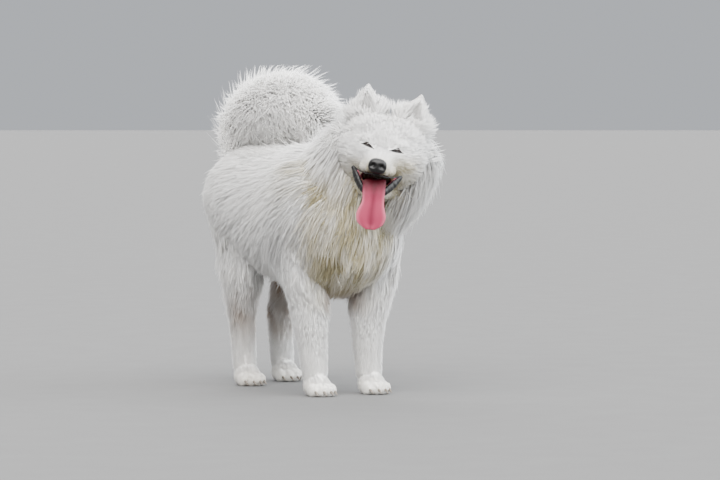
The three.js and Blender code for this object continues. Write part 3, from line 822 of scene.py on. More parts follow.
def nose_shape():
    """A blunt nose with two nostrils, their side slits and a groove down the middle."""
    points, faces = ball((0, 0, 0), (1, 1, 1), 56)
    square = np.sign(points) * np.abs(points) ** NOSE_SQUARENESS
    place = square * NOSE["half"] + NOSE["at"]
    x, y, z = place.T.copy()
    _, middle_y, middle_z = NOSE["at"]
    top, bottom = NOSE_GROOVE["heights"]
    dent = NOSE_GROOVE["depth"] * np.exp(-((x / NOSE_GROOVE["half"]) ** 2))
    dent *= smoothstep(middle_z + top, middle_z + bottom, z)
    for side in BOTH:
        hole_x, _, hole_z = mirrored(NOSE["nostril"], side)
        for out, below, wide, high, deep in NOSTRIL_DENTS:
            dent += deep * np.exp(-(((x - out * hole_x) / wide) ** 2) - ((z - hole_z + below) / high) ** 2)
    place[:, 1] += np.where(y < middle_y + 2, dent, 0)
    return from_head(place), faces


def lip_shape(half, tall=1.0, serration=0.0):
    """A lip or gum from one corner of the mouth to the other, its edge uneven towards the corners."""
    left = [mirrored(row, -1) for row in half[1:]][::-1]
    rows = [(x, y, z, tall * radius, 0.9 * radius) for x, y, z, radius in [*left, *half]]
    tube = Tube(rows, across=UP)
    rings, sides = 96, 16
    points, faces = tube.loft(rings, sides, bare=False)
    ring = np.repeat(np.arange(rings + 1), sides)
    waves = sum(np.sin(ring * often + start) for often, start in LIP_WAVES)
    swell = 1 + serration * waves * np.abs(2 * ring / rings - 1)
    centre = np.repeat(tube.at(tube.centre, np.linspace(0, 1, rings + 1)), sides, axis=0)
    points[:-2] = centre + (points[:-2] - centre) * swell[:, None]
    return from_head(points), faces


finish_piece(joined("nose_leather", [nose_shape()]), leather_material, ["nose"])
lips = joined("lips", [lip_shape(UPPER_LIP), lip_shape(LOWER_LIP, 1.35, 0.08)])
finish_piece(lips, leather_material, ["lip_upper", "lip_lower"])


def on_face(x, z):
    """The place on the front of the head's skin at an x and z of the head's own frame."""
    start = Vector(placed(from_head((x, BEFORE_FACE, z))))
    way = Vector(HEAD_TURN @ np.array((0, 1, 0)))
    return to_head(unplaced(head_tree.ray_cast(start, way)[0]))


def lid_rim(side, up):
    """One dark lid edge, from the inner to the outer corner of the eye. Up is 1 or -1."""
    wide, high = EYE["slit"]
    centre_x, _, centre_z = mirrored(EYE["at"], side)
    rows = []
    for share in np.linspace(-LID["past"], LID["past"], 13):
        x = centre_x + share * wide
        bow = max(0.0, 1 - share * share)
        z = centre_z + up * (high + LID["over"]) * bow + eye_slope(side) * share * wide + EYE["arch"] * bow
        _, y, _ = on_face(x, z + up * LID["aside"])
        radius = LID["radius"] + LID["swell"] * bow
        rows.append((x, y + LID["sunk"], z, radius, radius))
    points, faces = Tube(rows, across=UP).loft(40, 12, bare=False)
    return from_head(points), faces


lids = joined("eyelids", [lid_rim(side, up) for side in BOTH for up in (1, -1)])
finish_piece(lids, leather_material)
for where, side in SIDES.items():
    eyeball = ball(mirrored(EYE["at"], side), (EYE["radius"],) * 3, 40)
    finish_piece(joined("eyeball_" + where, [in_head(eyeball)]), eye_material, ["eye_" + where])


TONGUE_PINK = np.array((0.29, 0.036, 0.075))
TONGUE_RIM = np.array((0.44, 0.10, 0.155))
# The dark red of the painted shadow of the mouth on the tongue's root and of the painted shade down its
# middle
TONGUE_SHADOW = np.array((0.035, 0.002, 0.005))
TONGUE_CURL = 2.4
GROOVE_WIDTH = 0.32  # as a share of the half width


def tongue_shape():
    """The tongue, hollowed along its middle, from its root over the lower lip to its tip.

    Also gives each point's share of the length and how far out to the side it is.
    """
    root, bend = from_head(TONGUE_ROOT), from_head(TONGUE_BEND)
    ahead, across = HEAD_TURN @ FORWARD, HEAD_TURN @ X_AXIS
    across = unit(across - dot(across, UP) * UP)
    places = [root, root + 0.6 * (bend - root), bend]
    widths = list(TONGUE["widths"])
    for share, reach, right, half in TONGUE_HANG:
        places.append(bend + ahead * reach - across * right - UP * TONGUE["hang"] * share)
        widths.append(half)
    tube = Tube([(*place, half, TONGUE["thick"]) for place, half in zip(places, widths)], across=across)
    rings, sides = 60, 40
    points, faces = tube.loft(rings, sides, bare=False)
    u, angle = loft_places(rings, sides)
    aside = np.abs(np.cos(angle))
    dip = np.exp(-((aside / GROOVE_WIDTH) ** 2)) * smoothstep(0, 0.2, u) * smoothstep(1, 0.85, u)
    curl = TONGUE_CURL * aside**3 * smoothstep(0.3, 0.6, u)
    points[:-2] -= tube.at(tube.front, u) * (TONGUE["groove"] * dip - curl)[:, None]
    return (points, faces), np.append(u, (0, 1)), np.append(aside, (0, 0))


tongue_mesh, tongue_u, tongue_side = tongue_shape()
tongue = joined("tongue_flesh", [tongue_mesh])
tongue_colour = np.repeat(TONGUE_PINK[None], len(tongue_u), axis=0)
tongue_colour = mix(tongue_colour, TONGUE_RIM, smoothstep(0.7, 1.0, tongue_side))
# Painted shadow of the mouth over the tongue's root, and painted shade down its middle along the groove
tongue_colour = mix(tongue_colour, TONGUE_SHADOW, smoothstep(0.56, 0.3, tongue_u))
tongue_colour = mix(tongue_colour, TONGUE_SHADOW, 0.5 * np.exp(-((tongue_side / 0.2) ** 2)))
paint(tongue, tongue_colour)
finish_piece(tongue, tongue_material, ["tongue"])
gums = joined("gums", [lip_shape(GUM, 1.3)])
paint(gums, np.repeat(TONGUE_RIM[None], len(gums.data.vertices), axis=0))
finish_piece(gums, tongue_material)


def claw_shapes(leg):
    for x, y in toe_places(leg):
        rows = [(x, y - ahead, lift, radius, radius) for ahead, lift, radius in CLAW]
        yield Tube(rows, facing=FORWARD).loft(12, 12, bare=False)


claws = joined("claws", [claw for leg in legs.values() for claw in claw_shapes(leg)])
finish_piece(claws, claw_material)

# The coat. A tuft is a thin blade of three-sided rings from its root to its tip.

UV_PATCH = 0.003
RING_WIDTHS = {2: (0.9, 0.8), 3: (0.75, 1.0, 0.7)}
TUFT_THICKNESS = 0.35  # as a share of the width
SOFTNESS = 0.93  # how far a tuft is shaded like the whole coat and not by its own sides
# How dark a tuft is painted at its root and how light at its tip: painted shade deep in the coat, painted
# light at the tips
ROOT_TO_TIP_SHADE = (0.94, 1.02)


def on_corners(values, rings):
    """Values of each step of each tuft, three times over for the corners of a ring and once for the tip."""
    return np.concatenate([np.repeat(values[:, :rings], 3, axis=1), values[:, rings:]], axis=1)


def tuft_faces(rings):
    """The four-sided and the three-sided faces of one tuft."""
    quads = []
    for ring in range(rings - 1):
        for j in range(3):
            k = (j + 1) % 3
            quads.append((ring * 3 + j, ring * 3 + 3 + j, ring * 3 + 3 + k, ring * 3 + k))
    last = (rings - 1) * 3
    triangles = [(0, 1, 2)] + [(last + j, last + 3, last + (j + 1) % 3) for j in range(3)]
    return quads, triangles


def tuft_mesh(name, points, rings):
    """A mesh of many tufts, whose points are (tuft, corner, 3), and the vertex of each face's corner."""
    count, each, _ = points.shape
    quads, triangles = tuft_faces(rings)
    starts = np.arange(count)[:, None, None] * each
    loops = [(starts + np.array(faces)[None]).reshape(-1) for faces in (quads, triangles)]
    loops = np.concatenate(loops).astype(np.int32)
    sizes = np.repeat((4, 3), (count * len(quads), count * len(triangles)))
    mesh = bpy.data.meshes.new(name)
    mesh.vertices.add(count * each)
    mesh.vertices.foreach_set("co", placed(points.reshape(-1, 3)).ravel())
    mesh.loops.add(len(loops))
    mesh.loops.foreach_set("vertex_index", loops)
    mesh.polygons.add(len(sizes))
    mesh.polygons.foreach_set("loop_start", np.concatenate([[0], np.cumsum(sizes)[:-1]]).astype(np.int32))
    mesh.polygons.foreach_set("loop_total", sizes.astype(np.int32))
    mesh.update(calc_edges=True)
    return mesh, loops


def tuft_piece(name, paths, outs, widths, colours, unwrapped):
    """One piece of many tufts: paths and outs are (tuft, step, 3), and the last step is the tip."""
    count, steps, _ = paths.shape
    rings = steps - 1
    ways = unit(np.gradient(paths, axis=1))
    across = unit(np.cross(ways, outs))
    away = np.cross(across, ways)
    half = (widths[:, None] / 2 * np.array(RING_WIDTHS[rings]))[..., None]
    centre, side, up = paths[:, :rings], across[:, :rings], away[:, :rings]
    thick = half * 2 * TUFT_THICKNESS
    corners = np.stack([centre + side * half, centre + up * thick, centre - side * half], axis=2)
    corners = corners.reshape(count, rings * 3, 3)
    mesh, loops = tuft_mesh(name, np.concatenate([corners, paths[:, rings:]], axis=1), rings)

    patch = [((j - 1) / 2, ring / rings - 0.5) for ring in range(rings) for j in range(3)]
    patch = np.array([*patch, (0, 0.5)])
    places = (unwrapped[:, None, :] + patch[None] * UV_PATCH).reshape(-1, 2)
    mesh.uv_layers.new(name="OFBake").data.foreach_set("uv", places[loops].ravel())

    # Upper faces are shaded like the whole coat, and undersides by themselves
    own = np.stack([side, up, -side], axis=2).reshape(count, rings * 3, 3)
    own = np.concatenate([own, away[:, rings:]], axis=1)
    upper = unit(own * (1 - SOFTNESS) + on_corners(outs, rings) * SOFTNESS).reshape(-1, 3)[loops]
    lower = unit(0.3 * own - on_corners(away, rings)).reshape(-1, 3)[loops]
    is_quad_under = np.tile(np.repeat(np.tile((False, False, True), rings - 1), 4), count)
    is_triangle_under = np.tile(np.repeat((True, False, False, True), 3), count)
    is_under = np.concatenate([is_quad_under, is_triangle_under])
    mesh.normals_split_custom_set(np.where(is_under[:, None], lower, upper).tolist())
    piece = linked(name, mesh)
    # Tufts painted darker at the root and lighter at the tip: painted shade and light through the coat's
    # depth
    tones = on_corners(np.linspace(*ROOT_TO_TIP_SHADE, steps)[None, :, None], rings)
    paint(piece, (colours[:, None, :] * tones).reshape(-1, 3))
    return finish_piece(piece, coat_material)


def nearest_skin(points):
    """The closest places on the skin, and how far off they are."""
    found = [skin_tree.find_nearest(Vector(place)) for place in placed(points)]
    return unplaced([hit[0] for hit in found]), np.array([hit[3] for hit in found]) / MM


# How far past mouth, nose and eyes no tuft is rooted, in mm, and the y that mouth and eyes lie ahead of
BARE = {"mouth": 3.0, "nose": 1.5, "eye": (3, 2.2)}
MOUTH_BACK = -30
EYE_BACK = -35
INNER_MARGIN = 9.0  # how far round the mouth a place that doesn't face up is still inside it
FACING_UP = 0.1


def bare_places(points):
    """Where no tuft is rooted: eyes, nose, lips and mouth."""
    local = to_head(points)
    bare = mouth.holds(local, -BARE["mouth"]) & (local[:, 1] < MOUTH_BACK)
    bare |= np.linalg.norm((local - NOSE["at"]) / (np.array(NOSE["half"]) + BARE["nose"]), axis=1) < 1
    wide, high = np.add(EYE["slit"], BARE["eye"])
    for side in BOTH:
        x, _, z = (local - mirrored(EYE["at"], side)).T
        ring = np.hypot(x / wide, (z - eye_slope(side) * x) / high) < 1
        bare |= ring & (local[:, 1] < EYE_BACK)
    return bare


def in_mouth(points, normals):
    """Whether places on the skin face into the mouth."""
    return mouth.holds(to_head(points), -INNER_MARGIN) & ((normals @ HEAD_TURN)[:, 2] < FACING_UP)


# The coat of the body. Guide hairs grow on the tubes and the tufts between them follow the nearest ones.
# Each coat gives its tube, a guide's length as so much and so much more for each mm of coat, which way it
# lies along the tube, how far it falls round the tube, how far tips stand over the outline, the pull of a
# clump, the width and the spacing of tufts, the shares and the arc in degrees where guides are rooted and
# its part of the unwrap: left, bottom, width and height.
COATS = {
    "back": {
        "tube": trunk, "length": (30, 1.6), "lie": -1, "fall": 0.8, "stand": 2, "clump": 0.1, "width": 3.6,
        "spacing": 3.3, "shares": (0.09, 1.0), "arc": (-45, 225), "map": (0.0, 0.0, 0.5, 0.4),
    },
    "belly": {
        "tube": trunk, "length": (34, 1.7), "lie": -1, "fall": 0.5, "stand": 3, "clump": 0.6, "width": 4.2,
        "spacing": 4.2, "shares": (0.12, 0.95), "arc": (225, 315), "map": (0.5, 0.0, 0.2, 0.4),
    },
    "ruff": {
        "tube": neck, "length": (26, 1.1), "lie": -1, "fall": 0.45, "stand": 7, "clump": 0.25, "width": 4.4,
        "spacing": 2.9, "shares": (0.0, 1.0), "arc": (0, 360), "map": (0.7, 0.0, 0.3, 0.3),
    },
    "chest": {
        "tube": bib, "length": (36, 1.5), "lie": 1, "fall": 0.0, "stand": 5, "clump": 0.6, "width": 3.8,
        "spacing": 3.2, "shares": (0.0, 1.0), "arc": (5, 175), "map": (0.7, 0.3, 0.3, 0.2),
    },
    "rump": {
        "tube": breech, "length": (32, 1.5), "lie": 1, "fall": 0.0, "stand": 2, "clump": 0.3, "width": 4.2,
        "spacing": 3.4, "shares": (0.0, 1.0), "arc": (190, 350), "map": (0.0, 0.4, 0.2, 0.2),
    },
    "tail": {
        "tube": tail, "length": (22, 1.0), "lie": 1, "fall": 0.3, "stand": 9, "clump": 0.15, "width": 4.5,
        "spacing": 2.9, "shares": (0.03, 1.0), "arc": (0, 360), "map": (0.2, 0.4, 0.3, 0.3),
    },
}
LEG_COAT = {
    "length": (15, 2.0), "lie": 1, "fall": 0.0, "stand": 5, "clump": 0.2, "width": 3.4,
    "spacing": 3.4, "arc": (0, 360),
}
LEG_MAPS = {
    "foreleg_left": (0.5, 0.5, 0.12, 0.3),
    "foreleg_right": (0.62, 0.5, 0.12, 0.3),
    "hindleg_left": (0.74, 0.5, 0.12, 0.3),
    "hindleg_right": (0.86, 0.5, 0.12, 0.3),
}
LEG_COAT_STARTS = {"foreleg": 0.2, "hindleg": 0.12}
for leg, room in LEG_MAPS.items():
    start = LEG_COAT_STARTS[leg.split("_")[0]]
    COATS[leg] = {**LEG_COAT, "tube": legs[leg], "map": room, "shares": (start, 0.98)}
COAT_NAMES = list(COATS)
# The tubes that hide guides rooted inside them. The coat of the legs is hidden by trunk and neck.
HIDERS = {
    "back": [neck, *legs.values()],
    "belly": [neck, *legs.values()],
    "ruff": [trunk],
    "chest": [tail],
    "rump": [tail],
    "tail": [trunk],
}
OVER_LEGS = 330  # above this height the coat of the trunk goes on over the legs
RISE = {"tail": 1.5, "ruff": 1.15}
USUAL_RISE = 1.4
GUIDE_SPACING = 13
FARTHEST_ROOT = 60
LEAST_RADIUS = 12
HIDDEN_DEPTH = 3.0
HEAD_DEPTH = 2.0
GUIDE_JITTER = 0.3
GUIDE_TURN = 0.1
STEPS = np.array((0, 0.34, 0.7, 1.0))


def guides_on(name, coat, draw):
    """Guide hairs from their places on the skin to the tips of the coat."""
    tube = coat["tube"]
    first, last = coat["shares"]
    start, end = (math.radians(angle) for angle in coat["arc"])
    shares, angles = [], []
    rows = int((last - first) * tube.length / GUIDE_SPACING)
    for row in range(rows):
        share = first + (row + 0.5) / rows * (last - first)
        number = max(3, int((end - start) * tube.radius(share) / GUIDE_SPACING))
        shares.append(share + draw.uniform(-GUIDE_JITTER, GUIDE_JITTER, number) * (last - first) / rows)
        angles.append(start + (np.arange(number) + draw.uniform(0, 1, number)) / number * (end - start))
    u, angle = np.concatenate(shares), np.concatenate(angles)
    root = tube.point(u, angle, tube.coat(u))
    keep = ~cranium.holds(to_head(root), HEAD_DEPTH)
    for hider in HIDERS.get(name, [trunk, neck]):
        is_leg = hider in legs.values()
        keep &= ~(hider.holds(root, HIDDEN_DEPTH) & ((root[:, 2] < OVER_LEGS) | (not is_leg)))
    u, angle, root = u[keep], angle[keep], root[keep]
    on_skin, gap = nearest_skin(root)
    close = gap < FARTHEST_ROOT
    u, angle, root, on_skin = u[close], angle[close], root[close], on_skin[close]

    depth = tube.coat(u)
    radius = np.maximum(tube.radius(u), LEAST_RADIUS)
    base, growth = coat["length"]
    length = base + growth * depth
    turn = draw.normal(0, GUIDE_TURN, len(u)) - coat["fall"] * np.cos(angle)
    path_u = u[:, None] + (coat["lie"] * length * np.cos(turn) / tube.length)[:, None] * STEPS
    path_a = angle[:, None] + (length * np.sin(turn) / radius)[:, None] * STEPS
    below = depth[:, None] * (1 - STEPS) ** RISE.get(name, USUAL_RISE) - coat["stand"] * STEPS**2
    paths = tube.point(path_u, path_a, below)
    paths += (on_skin - root)[:, None, :] * (1 - STEPS[:, None]) ** 1.5
    left, bottom, wide, high = coat["map"]
    corner = (left + wide * (angle - start) / (end - start), bottom + high * np.clip(u, 0, 1))
    along = tube.at(tube.along, u)
    around = np.cross(along, tube.outward(u, angle)) * (wide / ((end - start) * radius))[:, None]
    return {
        "root": on_skin,
        "shape": paths - on_skin[:, None],
        "outs": tube.outward(path_u, path_a),
        "corner": np.stack(corner, axis=-1),
        "spread": np.stack([around, along * (high / tube.length)], axis=1),
        "coat": np.full(len(u), COAT_NAMES.index(name)),
    }


def kd_tree(points):
    tree = KDTree(len(points))
    for i, point in enumerate(points):
        tree.insert(point, i)
    tree.balance()
    return tree


guide_draw = np.random.default_rng(SEED)
grown = [guides_on(name, coat, guide_draw) for name, coat in COATS.items()]
guides = {key: np.concatenate([part[key] for part in grown]) for key in grown[0]}
guide_tree = kd_tree(guides["root"])


def of_coat(key):
    return np.array([coat[key] for coat in COATS.values()])


CROWDING = 4  # how many places are drawn for each that is kept
CELL = 1.22  # the side of a cell as a share of the spacing
CELL_STRIDE = 4001


def spread_on_skin(test, spacing, draw):
    """Places on the skin where a test holds and their normals, one in each cell of a grid."""
    mesh = skin.data
    mesh.calc_loop_triangles()
    corners = np.zeros(len(mesh.loop_triangles) * 3, np.int32)
    mesh.loop_triangles.foreach_get("vertices", corners)
    normals = np.zeros(len(mesh.vertices) * 3)
    mesh.vertices.foreach_get("normal", normals)
    points = vertices_of(skin)
    corners = corners.reshape(-1, 3)
    corners = corners[test(points[corners].mean(axis=1))]
    points, normals = points[corners], normals.reshape(-1, 3)[corners]
    a, b, c = points.transpose(1, 0, 2)
    areas = np.linalg.norm(np.cross(b - a, c - a), axis=1) / 2

    number = int(CROWDING * areas.sum() / spacing**2)
    chosen = draw.choice(len(areas), number, p=areas / areas.sum())
    share = np.sort(draw.random((number, 2)), axis=1)
    weights = np.stack([share[:, 0], share[:, 1] - share[:, 0], 1 - share[:, 1]], axis=1)[..., None]
    places = (points[chosen] * weights).sum(1)
    cells = np.floor(places / (spacing * CELL)).astype(np.int64)
    key = (cells[:, 0] * CELL_STRIDE + cells[:, 1]) * CELL_STRIDE + cells[:, 2]
    first = np.unique(key, return_index=True)[1]
    return places[first], unit((normals[chosen] * weights).sum(1)[first])


def rooted(test, spacing, draw):
    """Places and normals for tufts, clear of eyes, nose, lips and mouth."""
    points, normals = spread_on_skin(test, spacing, draw)
    keep = ~bare_places(points)
    return points[keep], normals[keep]


# The body's long coat begins this far from the head's skin or behind this place, and above the paws
HEAD_GAP = 3
FACE_BACK = 50
PAW_TOP = 46


def is_body(points):
    """Whether places on the skin carry the body's long coat."""
    near_head = np.array([head_tree.find_nearest(Vector(place))[3] for place in placed(points)]) / MM
    behind = to_head(points)[:, 1] > FACE_BACK
    return ((near_head > HEAD_GAP) | behind) & (points[:, 2] > PAW_TOP)


SPACING = 2.9
UNDER_SPACING = 6.6
TAIL_UNDER_SPACING = 4.0
CLUMP_SPACING = 17
WISP_SHARE = 0.06
TAIL_WISP_SHARE = 0.16
LIMIT = 12000
SHORT_LIMIT = 19000
NEIGHBOURS = 10
BLUR = 120  # square mm added to each guide's distance


def follow(points, normals, draw, spacing):
    """Tufts' shapes from the guides round them, their clumps and their places on the unwrap."""
    nearest = np.array([[hit[1] for hit in guide_tree.find_n(place, NEIGHBOURS)] for place in points])
    offset = points[:, None] - guides["root"][nearest]
    agree = np.clip(np.sum(normals[:, None] * guides["outs"][nearest][:, :, 0], axis=-1), 0.05, 1)
    weight = agree**2 / (np.sum(offset**2, axis=-1) + BLUR)
    weight /= weight.sum(axis=1, keepdims=True)
    shape = np.sum(guides["shape"][nearest] * weight[..., None, None], axis=1)
    outs = unit(np.sum(guides["outs"][nearest] * weight[..., None, None], axis=1))
    best = nearest[np.arange(len(points)), np.argmax(weight, axis=1)]
    unwrapped = guides["corner"][best]
    unwrapped = unwrapped + np.einsum("nij,nj->ni", guides["spread"][best], points - guides["root"][best])

    middles = points[draw.random(len(points)) < (spacing / CLUMP_SPACING) ** 2]
    tree = kd_tree(middles)
    clump = np.array([tree.find(place)[1] for place in points])
    to_middle = middles[clump] - points
    return shape, outs, guides["coat"][best], np.clip(unwrapped, 0.004, 0.996), clump, to_middle


def turned(shape, normals, angle):
    """Shapes turned round the skin's normals."""
    upright = dot(shape, normals[:, None]) * normals[:, None]
    flat = shape - upright
    c, s = np.cos(angle)[:, None, None], np.sin(angle)[:, None, None]
    return upright + flat * c + np.cross(normals[:, None], flat) * s


# The room that the coat's tips have: a little more than the solids' box, above the floor
ROOM_MARGIN = 0.02 * np.subtract(cad_box[1], cad_box[0]) / MM + 6
ROOM = [unplaced(cad_box[0]) - ROOM_MARGIN, unplaced(cad_box[1]) + ROOM_MARGIN]
ROOM[0][2] = 1.0

# How long tufts vary. Angles are standard deviations in radians, rises and bends are shares of the length.
CLUMP_ANGLE = 0.06
TUFT_ANGLE = 0.05
WISP_ANGLE = 0.2
LENGTHS = (0.84, 1.12)
CLUMP_PULLS = (0.7, 1.2)
WISP_PULL = 0.15
CLUMP_REACH = 0.35
CLUMP_RISE = 0.018
TUFT_RISE = 0.02
WISP_RISES = (0.02, 0.16)
TAIL_WISP_RISE = 2.6
SIDE_BEND = 0.035
ROOT_DEPTH = 1.5
# How much lighter a raised clump and darker a sunk one is painted: painted light and shade
CLUMP_SHADE = 0.02
TONES = (0.95, 1.03)
WIDTHS = (0.75, 1.15)
WISP_WIDTH = 0.6


def top_coat(draw):
    """The long tufts, the coat that each belongs to first."""
    points, normals = rooted(is_body, SPACING, draw)
    found = follow(points, normals, draw, SPACING)
    chosen = draw.random(len(points)) < (SPACING / of_coat("spacing")[found[2]]) ** 2
    points, normals = points[chosen], normals[chosen]
    shape, outs, coat, unwrapped, clump, to_middle = (array[chosen] for array in found)
    number, clumps = len(points), clump.max() + 1
    on_tail = coat == COAT_NAMES.index("tail")
    wisp = draw.random(number) < np.where(on_tail, TAIL_WISP_SHARE, WISP_SHARE)
    lift = draw.uniform(-1, 1, clumps)[clump]
    angle = draw.normal(0, CLUMP_ANGLE, clumps)[clump] + draw.normal(0, TUFT_ANGLE, number)
    angle += wisp * draw.normal(0, WISP_ANGLE, number)
    shape = turned(shape, normals, angle) * draw.uniform(*LENGTHS, (number, 1, 1))
    length = np.linalg.norm(shape[:, -1], axis=1)
    pull = of_coat("clump")[coat] * draw.uniform(*CLUMP_PULLS, clumps)[clump] * np.where(wisp, WISP_PULL, 1)
    pull *= np.minimum(1, CLUMP_REACH * length / np.maximum(np.linalg.norm(to_middle, axis=1), 1))
    steps = STEPS[None, :, None]
    paths = points[:, None] + shape + to_middle[:, None] * pull[:, None, None] * steps**1.6
    rise = CLUMP_RISE * lift + draw.uniform(-TUFT_RISE, TUFT_RISE, number)
    rise += wisp * draw.uniform(*WISP_RISES, number) * np.where(on_tail, TAIL_WISP_RISE, 1)
    paths += outs * (length * rise)[:, None, None] * steps**2
    side = unit(np.cross(outs[:, 2], shape[:, -1]))
    bend = draw.normal(0, SIDE_BEND, number) * length
    paths += side[:, None] * bend[:, None, None] * np.sin(math.pi * steps)
    paths[:, 0] -= normals * ROOT_DEPTH
    paths = np.clip(paths, *ROOM)
    colours = coat_colour(points, draw.random(clumps)[clump]) * draw.uniform(*TONES, (number, 1))
    # Raised clumps are painted lighter and sunk ones darker: painted light and shade
    colours = colours * (1 + CLUMP_SHADE * lift[:, None])
    widths = of_coat("width")[coat] * draw.uniform(*WIDTHS, number) * np.where(wisp, WISP_WIDTH, 1)
    return coat, (paths, outs, widths, colours, unwrapped)


# How the under coat varies. The angles and what lengthens it are for the body and for the tail.
UNDER_ANGLES = (0.15, 0.8)
UNDER_LONGER = (1, 1.3)
UNDER_LENGTHS = (0.8, 0.95)
UNDER_ROOT_DEPTH = 2
UNDER_WIDTH = {"share": 0.17, "limits": (4, 9), "spread": (0.9, 1.1)}
UNDER_TONES = (0.97, 1.0)


def under_coat(draw):
    """Short wide tufts that fill the coat under the long ones, closest and most felted on the tail."""
    points, normals = rooted(is_body, TAIL_UNDER_SPACING, draw)
    shape, outs, coat, unwrapped, _, _ = follow(points, normals, draw, TAIL_UNDER_SPACING)
    on_tail = coat == COAT_NAMES.index("tail")
    keep = on_tail | (draw.random(len(points)) < (TAIL_UNDER_SPACING / UNDER_SPACING) ** 2)
    points, normals, shape, outs, unwrapped, on_tail = (
        array[keep] for array in (points, normals, shape, outs, unwrapped, on_tail)
    )
    number, tail_too = len(points), on_tail.astype(int)
    shape = turned(shape, normals, draw.normal(0, np.take(UNDER_ANGLES, tail_too)))
    shape = shape * draw.uniform(*UNDER_LENGTHS, (number, 1, 1))
    shape *= np.take(UNDER_LONGER, tail_too)[:, None, None]
    paths = points[:, None] + shape[:, :3]
    paths[:, 0] -= normals * UNDER_ROOT_DEPTH
    paths = np.clip(paths, *ROOM)
    widths = np.clip(UNDER_WIDTH["share"] * np.linalg.norm(shape[:, 2], axis=1), *UNDER_WIDTH["limits"])
    widths = widths * draw.uniform(*UNDER_WIDTH["spread"], number)
    colours = coat_colour(points, draw.random(number)) * draw.uniform(*UNDER_TONES, (number, 1))
    return paths, outs[:, :3], widths, colours, unwrapped


def add_coat(name, arrays, limit):
    """One or more pieces under the limit of tufts in each."""
    pieces = math.ceil(len(arrays[0]) / limit)
    order = np.argsort(arrays[0][:, 0, 1], kind="stable")
    for i, chosen in enumerate(np.array_split(order, pieces)):
        tuft_piece(f"{name}_{i + 1}" if pieces > 1 else name, *(array[chosen] for array in arrays))


which, tufts = top_coat(np.random.default_rng(SEED + 1))
PIECES = {
    "back_coat": ("back",),
    "belly_coat": ("belly",),
    "ruff_coat": ("ruff",),
    "chest_coat": ("chest",),
    "rump_coat": ("rump",),
    "tail_coat": ("tail",),
    "foreleg_coat": ("foreleg_left", "foreleg_right"),
    "hindleg_coat": ("hindleg_left", "hindleg_right"),
}
for name, members in PIECES.items():
    chosen = np.isin(which, [COAT_NAMES.index(member) for member in members])
    add_coat(name, [array[chosen] for array in tufts], LIMIT)
add_coat("under_coat", under_coat(np.random.default_rng(SEED + 2)), LIMIT)

# Short coats, laid along the skin itself: face and ears, and paws

SHORT_LENGTHS = (0.75, 1.2)
SHORT_LIFTS = (0.7, 1.3)
SHORT_WIDTHS = (0.8, 1.2)
SHORT_ROOT_DEPTH = 0.6

CHIN_HEIGHT = 300  # the head's skin is all above this height, and the paws' is all below it
PAW_HEIGHTS = (2, 50)
HEAD_SPACING = 2.1
HEAD_MAP = (0.01, 0.72, 0.38, 0.26)
LIE_FROM = (0, -150, -6)  # the place before the nose that the fur of the face lies away from
LIP_CLEARANCES = ((UPPER_LIP, 1.8), (LOWER_LIP, 6.5))
CUP_FUR_MARGIN = 2.0
# How deep the fur is over the cheeks and over the crown, by how far forward it is
CROWN_DEPTH = ((-70, -44, -22, 8, 45, 78), (2, 5, 13, 24, 25, 20))
TOP_DEPTH = ((-70, -44, -22, 8, 45, 78), (2, 4, 7, 12, 14, 14))
# Parts of the head in its own frame, given as the coat's staining and painted shade are
HEAD_PARTS = {
    "face": (("y", -110, -20),),
    "broad": (("y", -100, -20),),
    "chin": (("z", -40, -60),),
    "flews": (("z", -14, -30), ("y", -60, -70), ("z", -44, -38)),
    "cheek": (("x", 48, 92), ("z", 45, -10)),
    "top": (("z", 15, 50),),
    "behind": (("y", -34, 20),),
    "crown": (("y", -34, 20), ("z", 15, 50)),
    "nape": (("y", -34, 20), ("z", 50, 10)),
    "ear": (("z", 76, 90),),
    "ear_root": (("z", 108, 84),),
    "ear_foot": (("z", 110, 84),),
    "ear_lower": (("z", 140, 110),),
    "ear_inside": (("x", 46, 34), ("z", 74, 84), ("z", 118, 104)),
    "cup": (("z", 150, 110),),
}
# The length of the fur on the face and on the ears, in mm, and what each part of the head adds to it
FACE_LENGTH = (6, {"face": 12, "cheek": 22, "behind": 30, "crown": -22})
EAR_LENGTH = (4, {"ear_lower": 6, "ear_inside": 14, "ear_root": 12})
CUP_LENGTH = (5, {"cup": 15})
# The way that each part of the head turns its fur
EAR_LIE = (0, 0.3, 1)
CHIN_LIE = (0, 0.6, -0.5)
FLEWS_LIE = (0, 0, -0.9)
NAPE_LIE = (0, 0.2, -0.35)
CUP_LIE = (0.45, 0, 1)
# Above these heights the fur has the length, the lift and the width of an ear's
EAR_HEIGHTS = {"length": 80, "lift": 84, "width": 88}
# Lifts are shares of the length, and each second number is what a part of the head adds
LEAST_LIFT = 0.12
MOST_LIFT = 0.72
EAR_LIFT = (0.15, 0.3)
CUP_LIFT = 0.4
FACE_WIDTH = (1.8, 1.2)
BEHIND_WIDTH = 0.8
EAR_WIDTH = (2.1, 0.6)
STRAY = (0.12, 0.2)
# Round an eye: how far its pull on the fur reaches, how it points away and how strongly, and how much less
# there is there of the usual lie, length, lift and width
NEAR_EYE = {"half": (20, 12), "away": (0.6, 1, 1.6), "pull": 1.6}
LESS_AT_EYE = {"lie": 0.85, "length": 0.7, "lift": 0.5, "width": 0.2}
PAW_FUR = {"spacing": 2.9, "width": 2.5, "lift": 0.12, "stray": 0.14, "lowest": 0.8, "below": 60}
PAW_MAP = (0.41, 0.84, 0.13, 0.14)


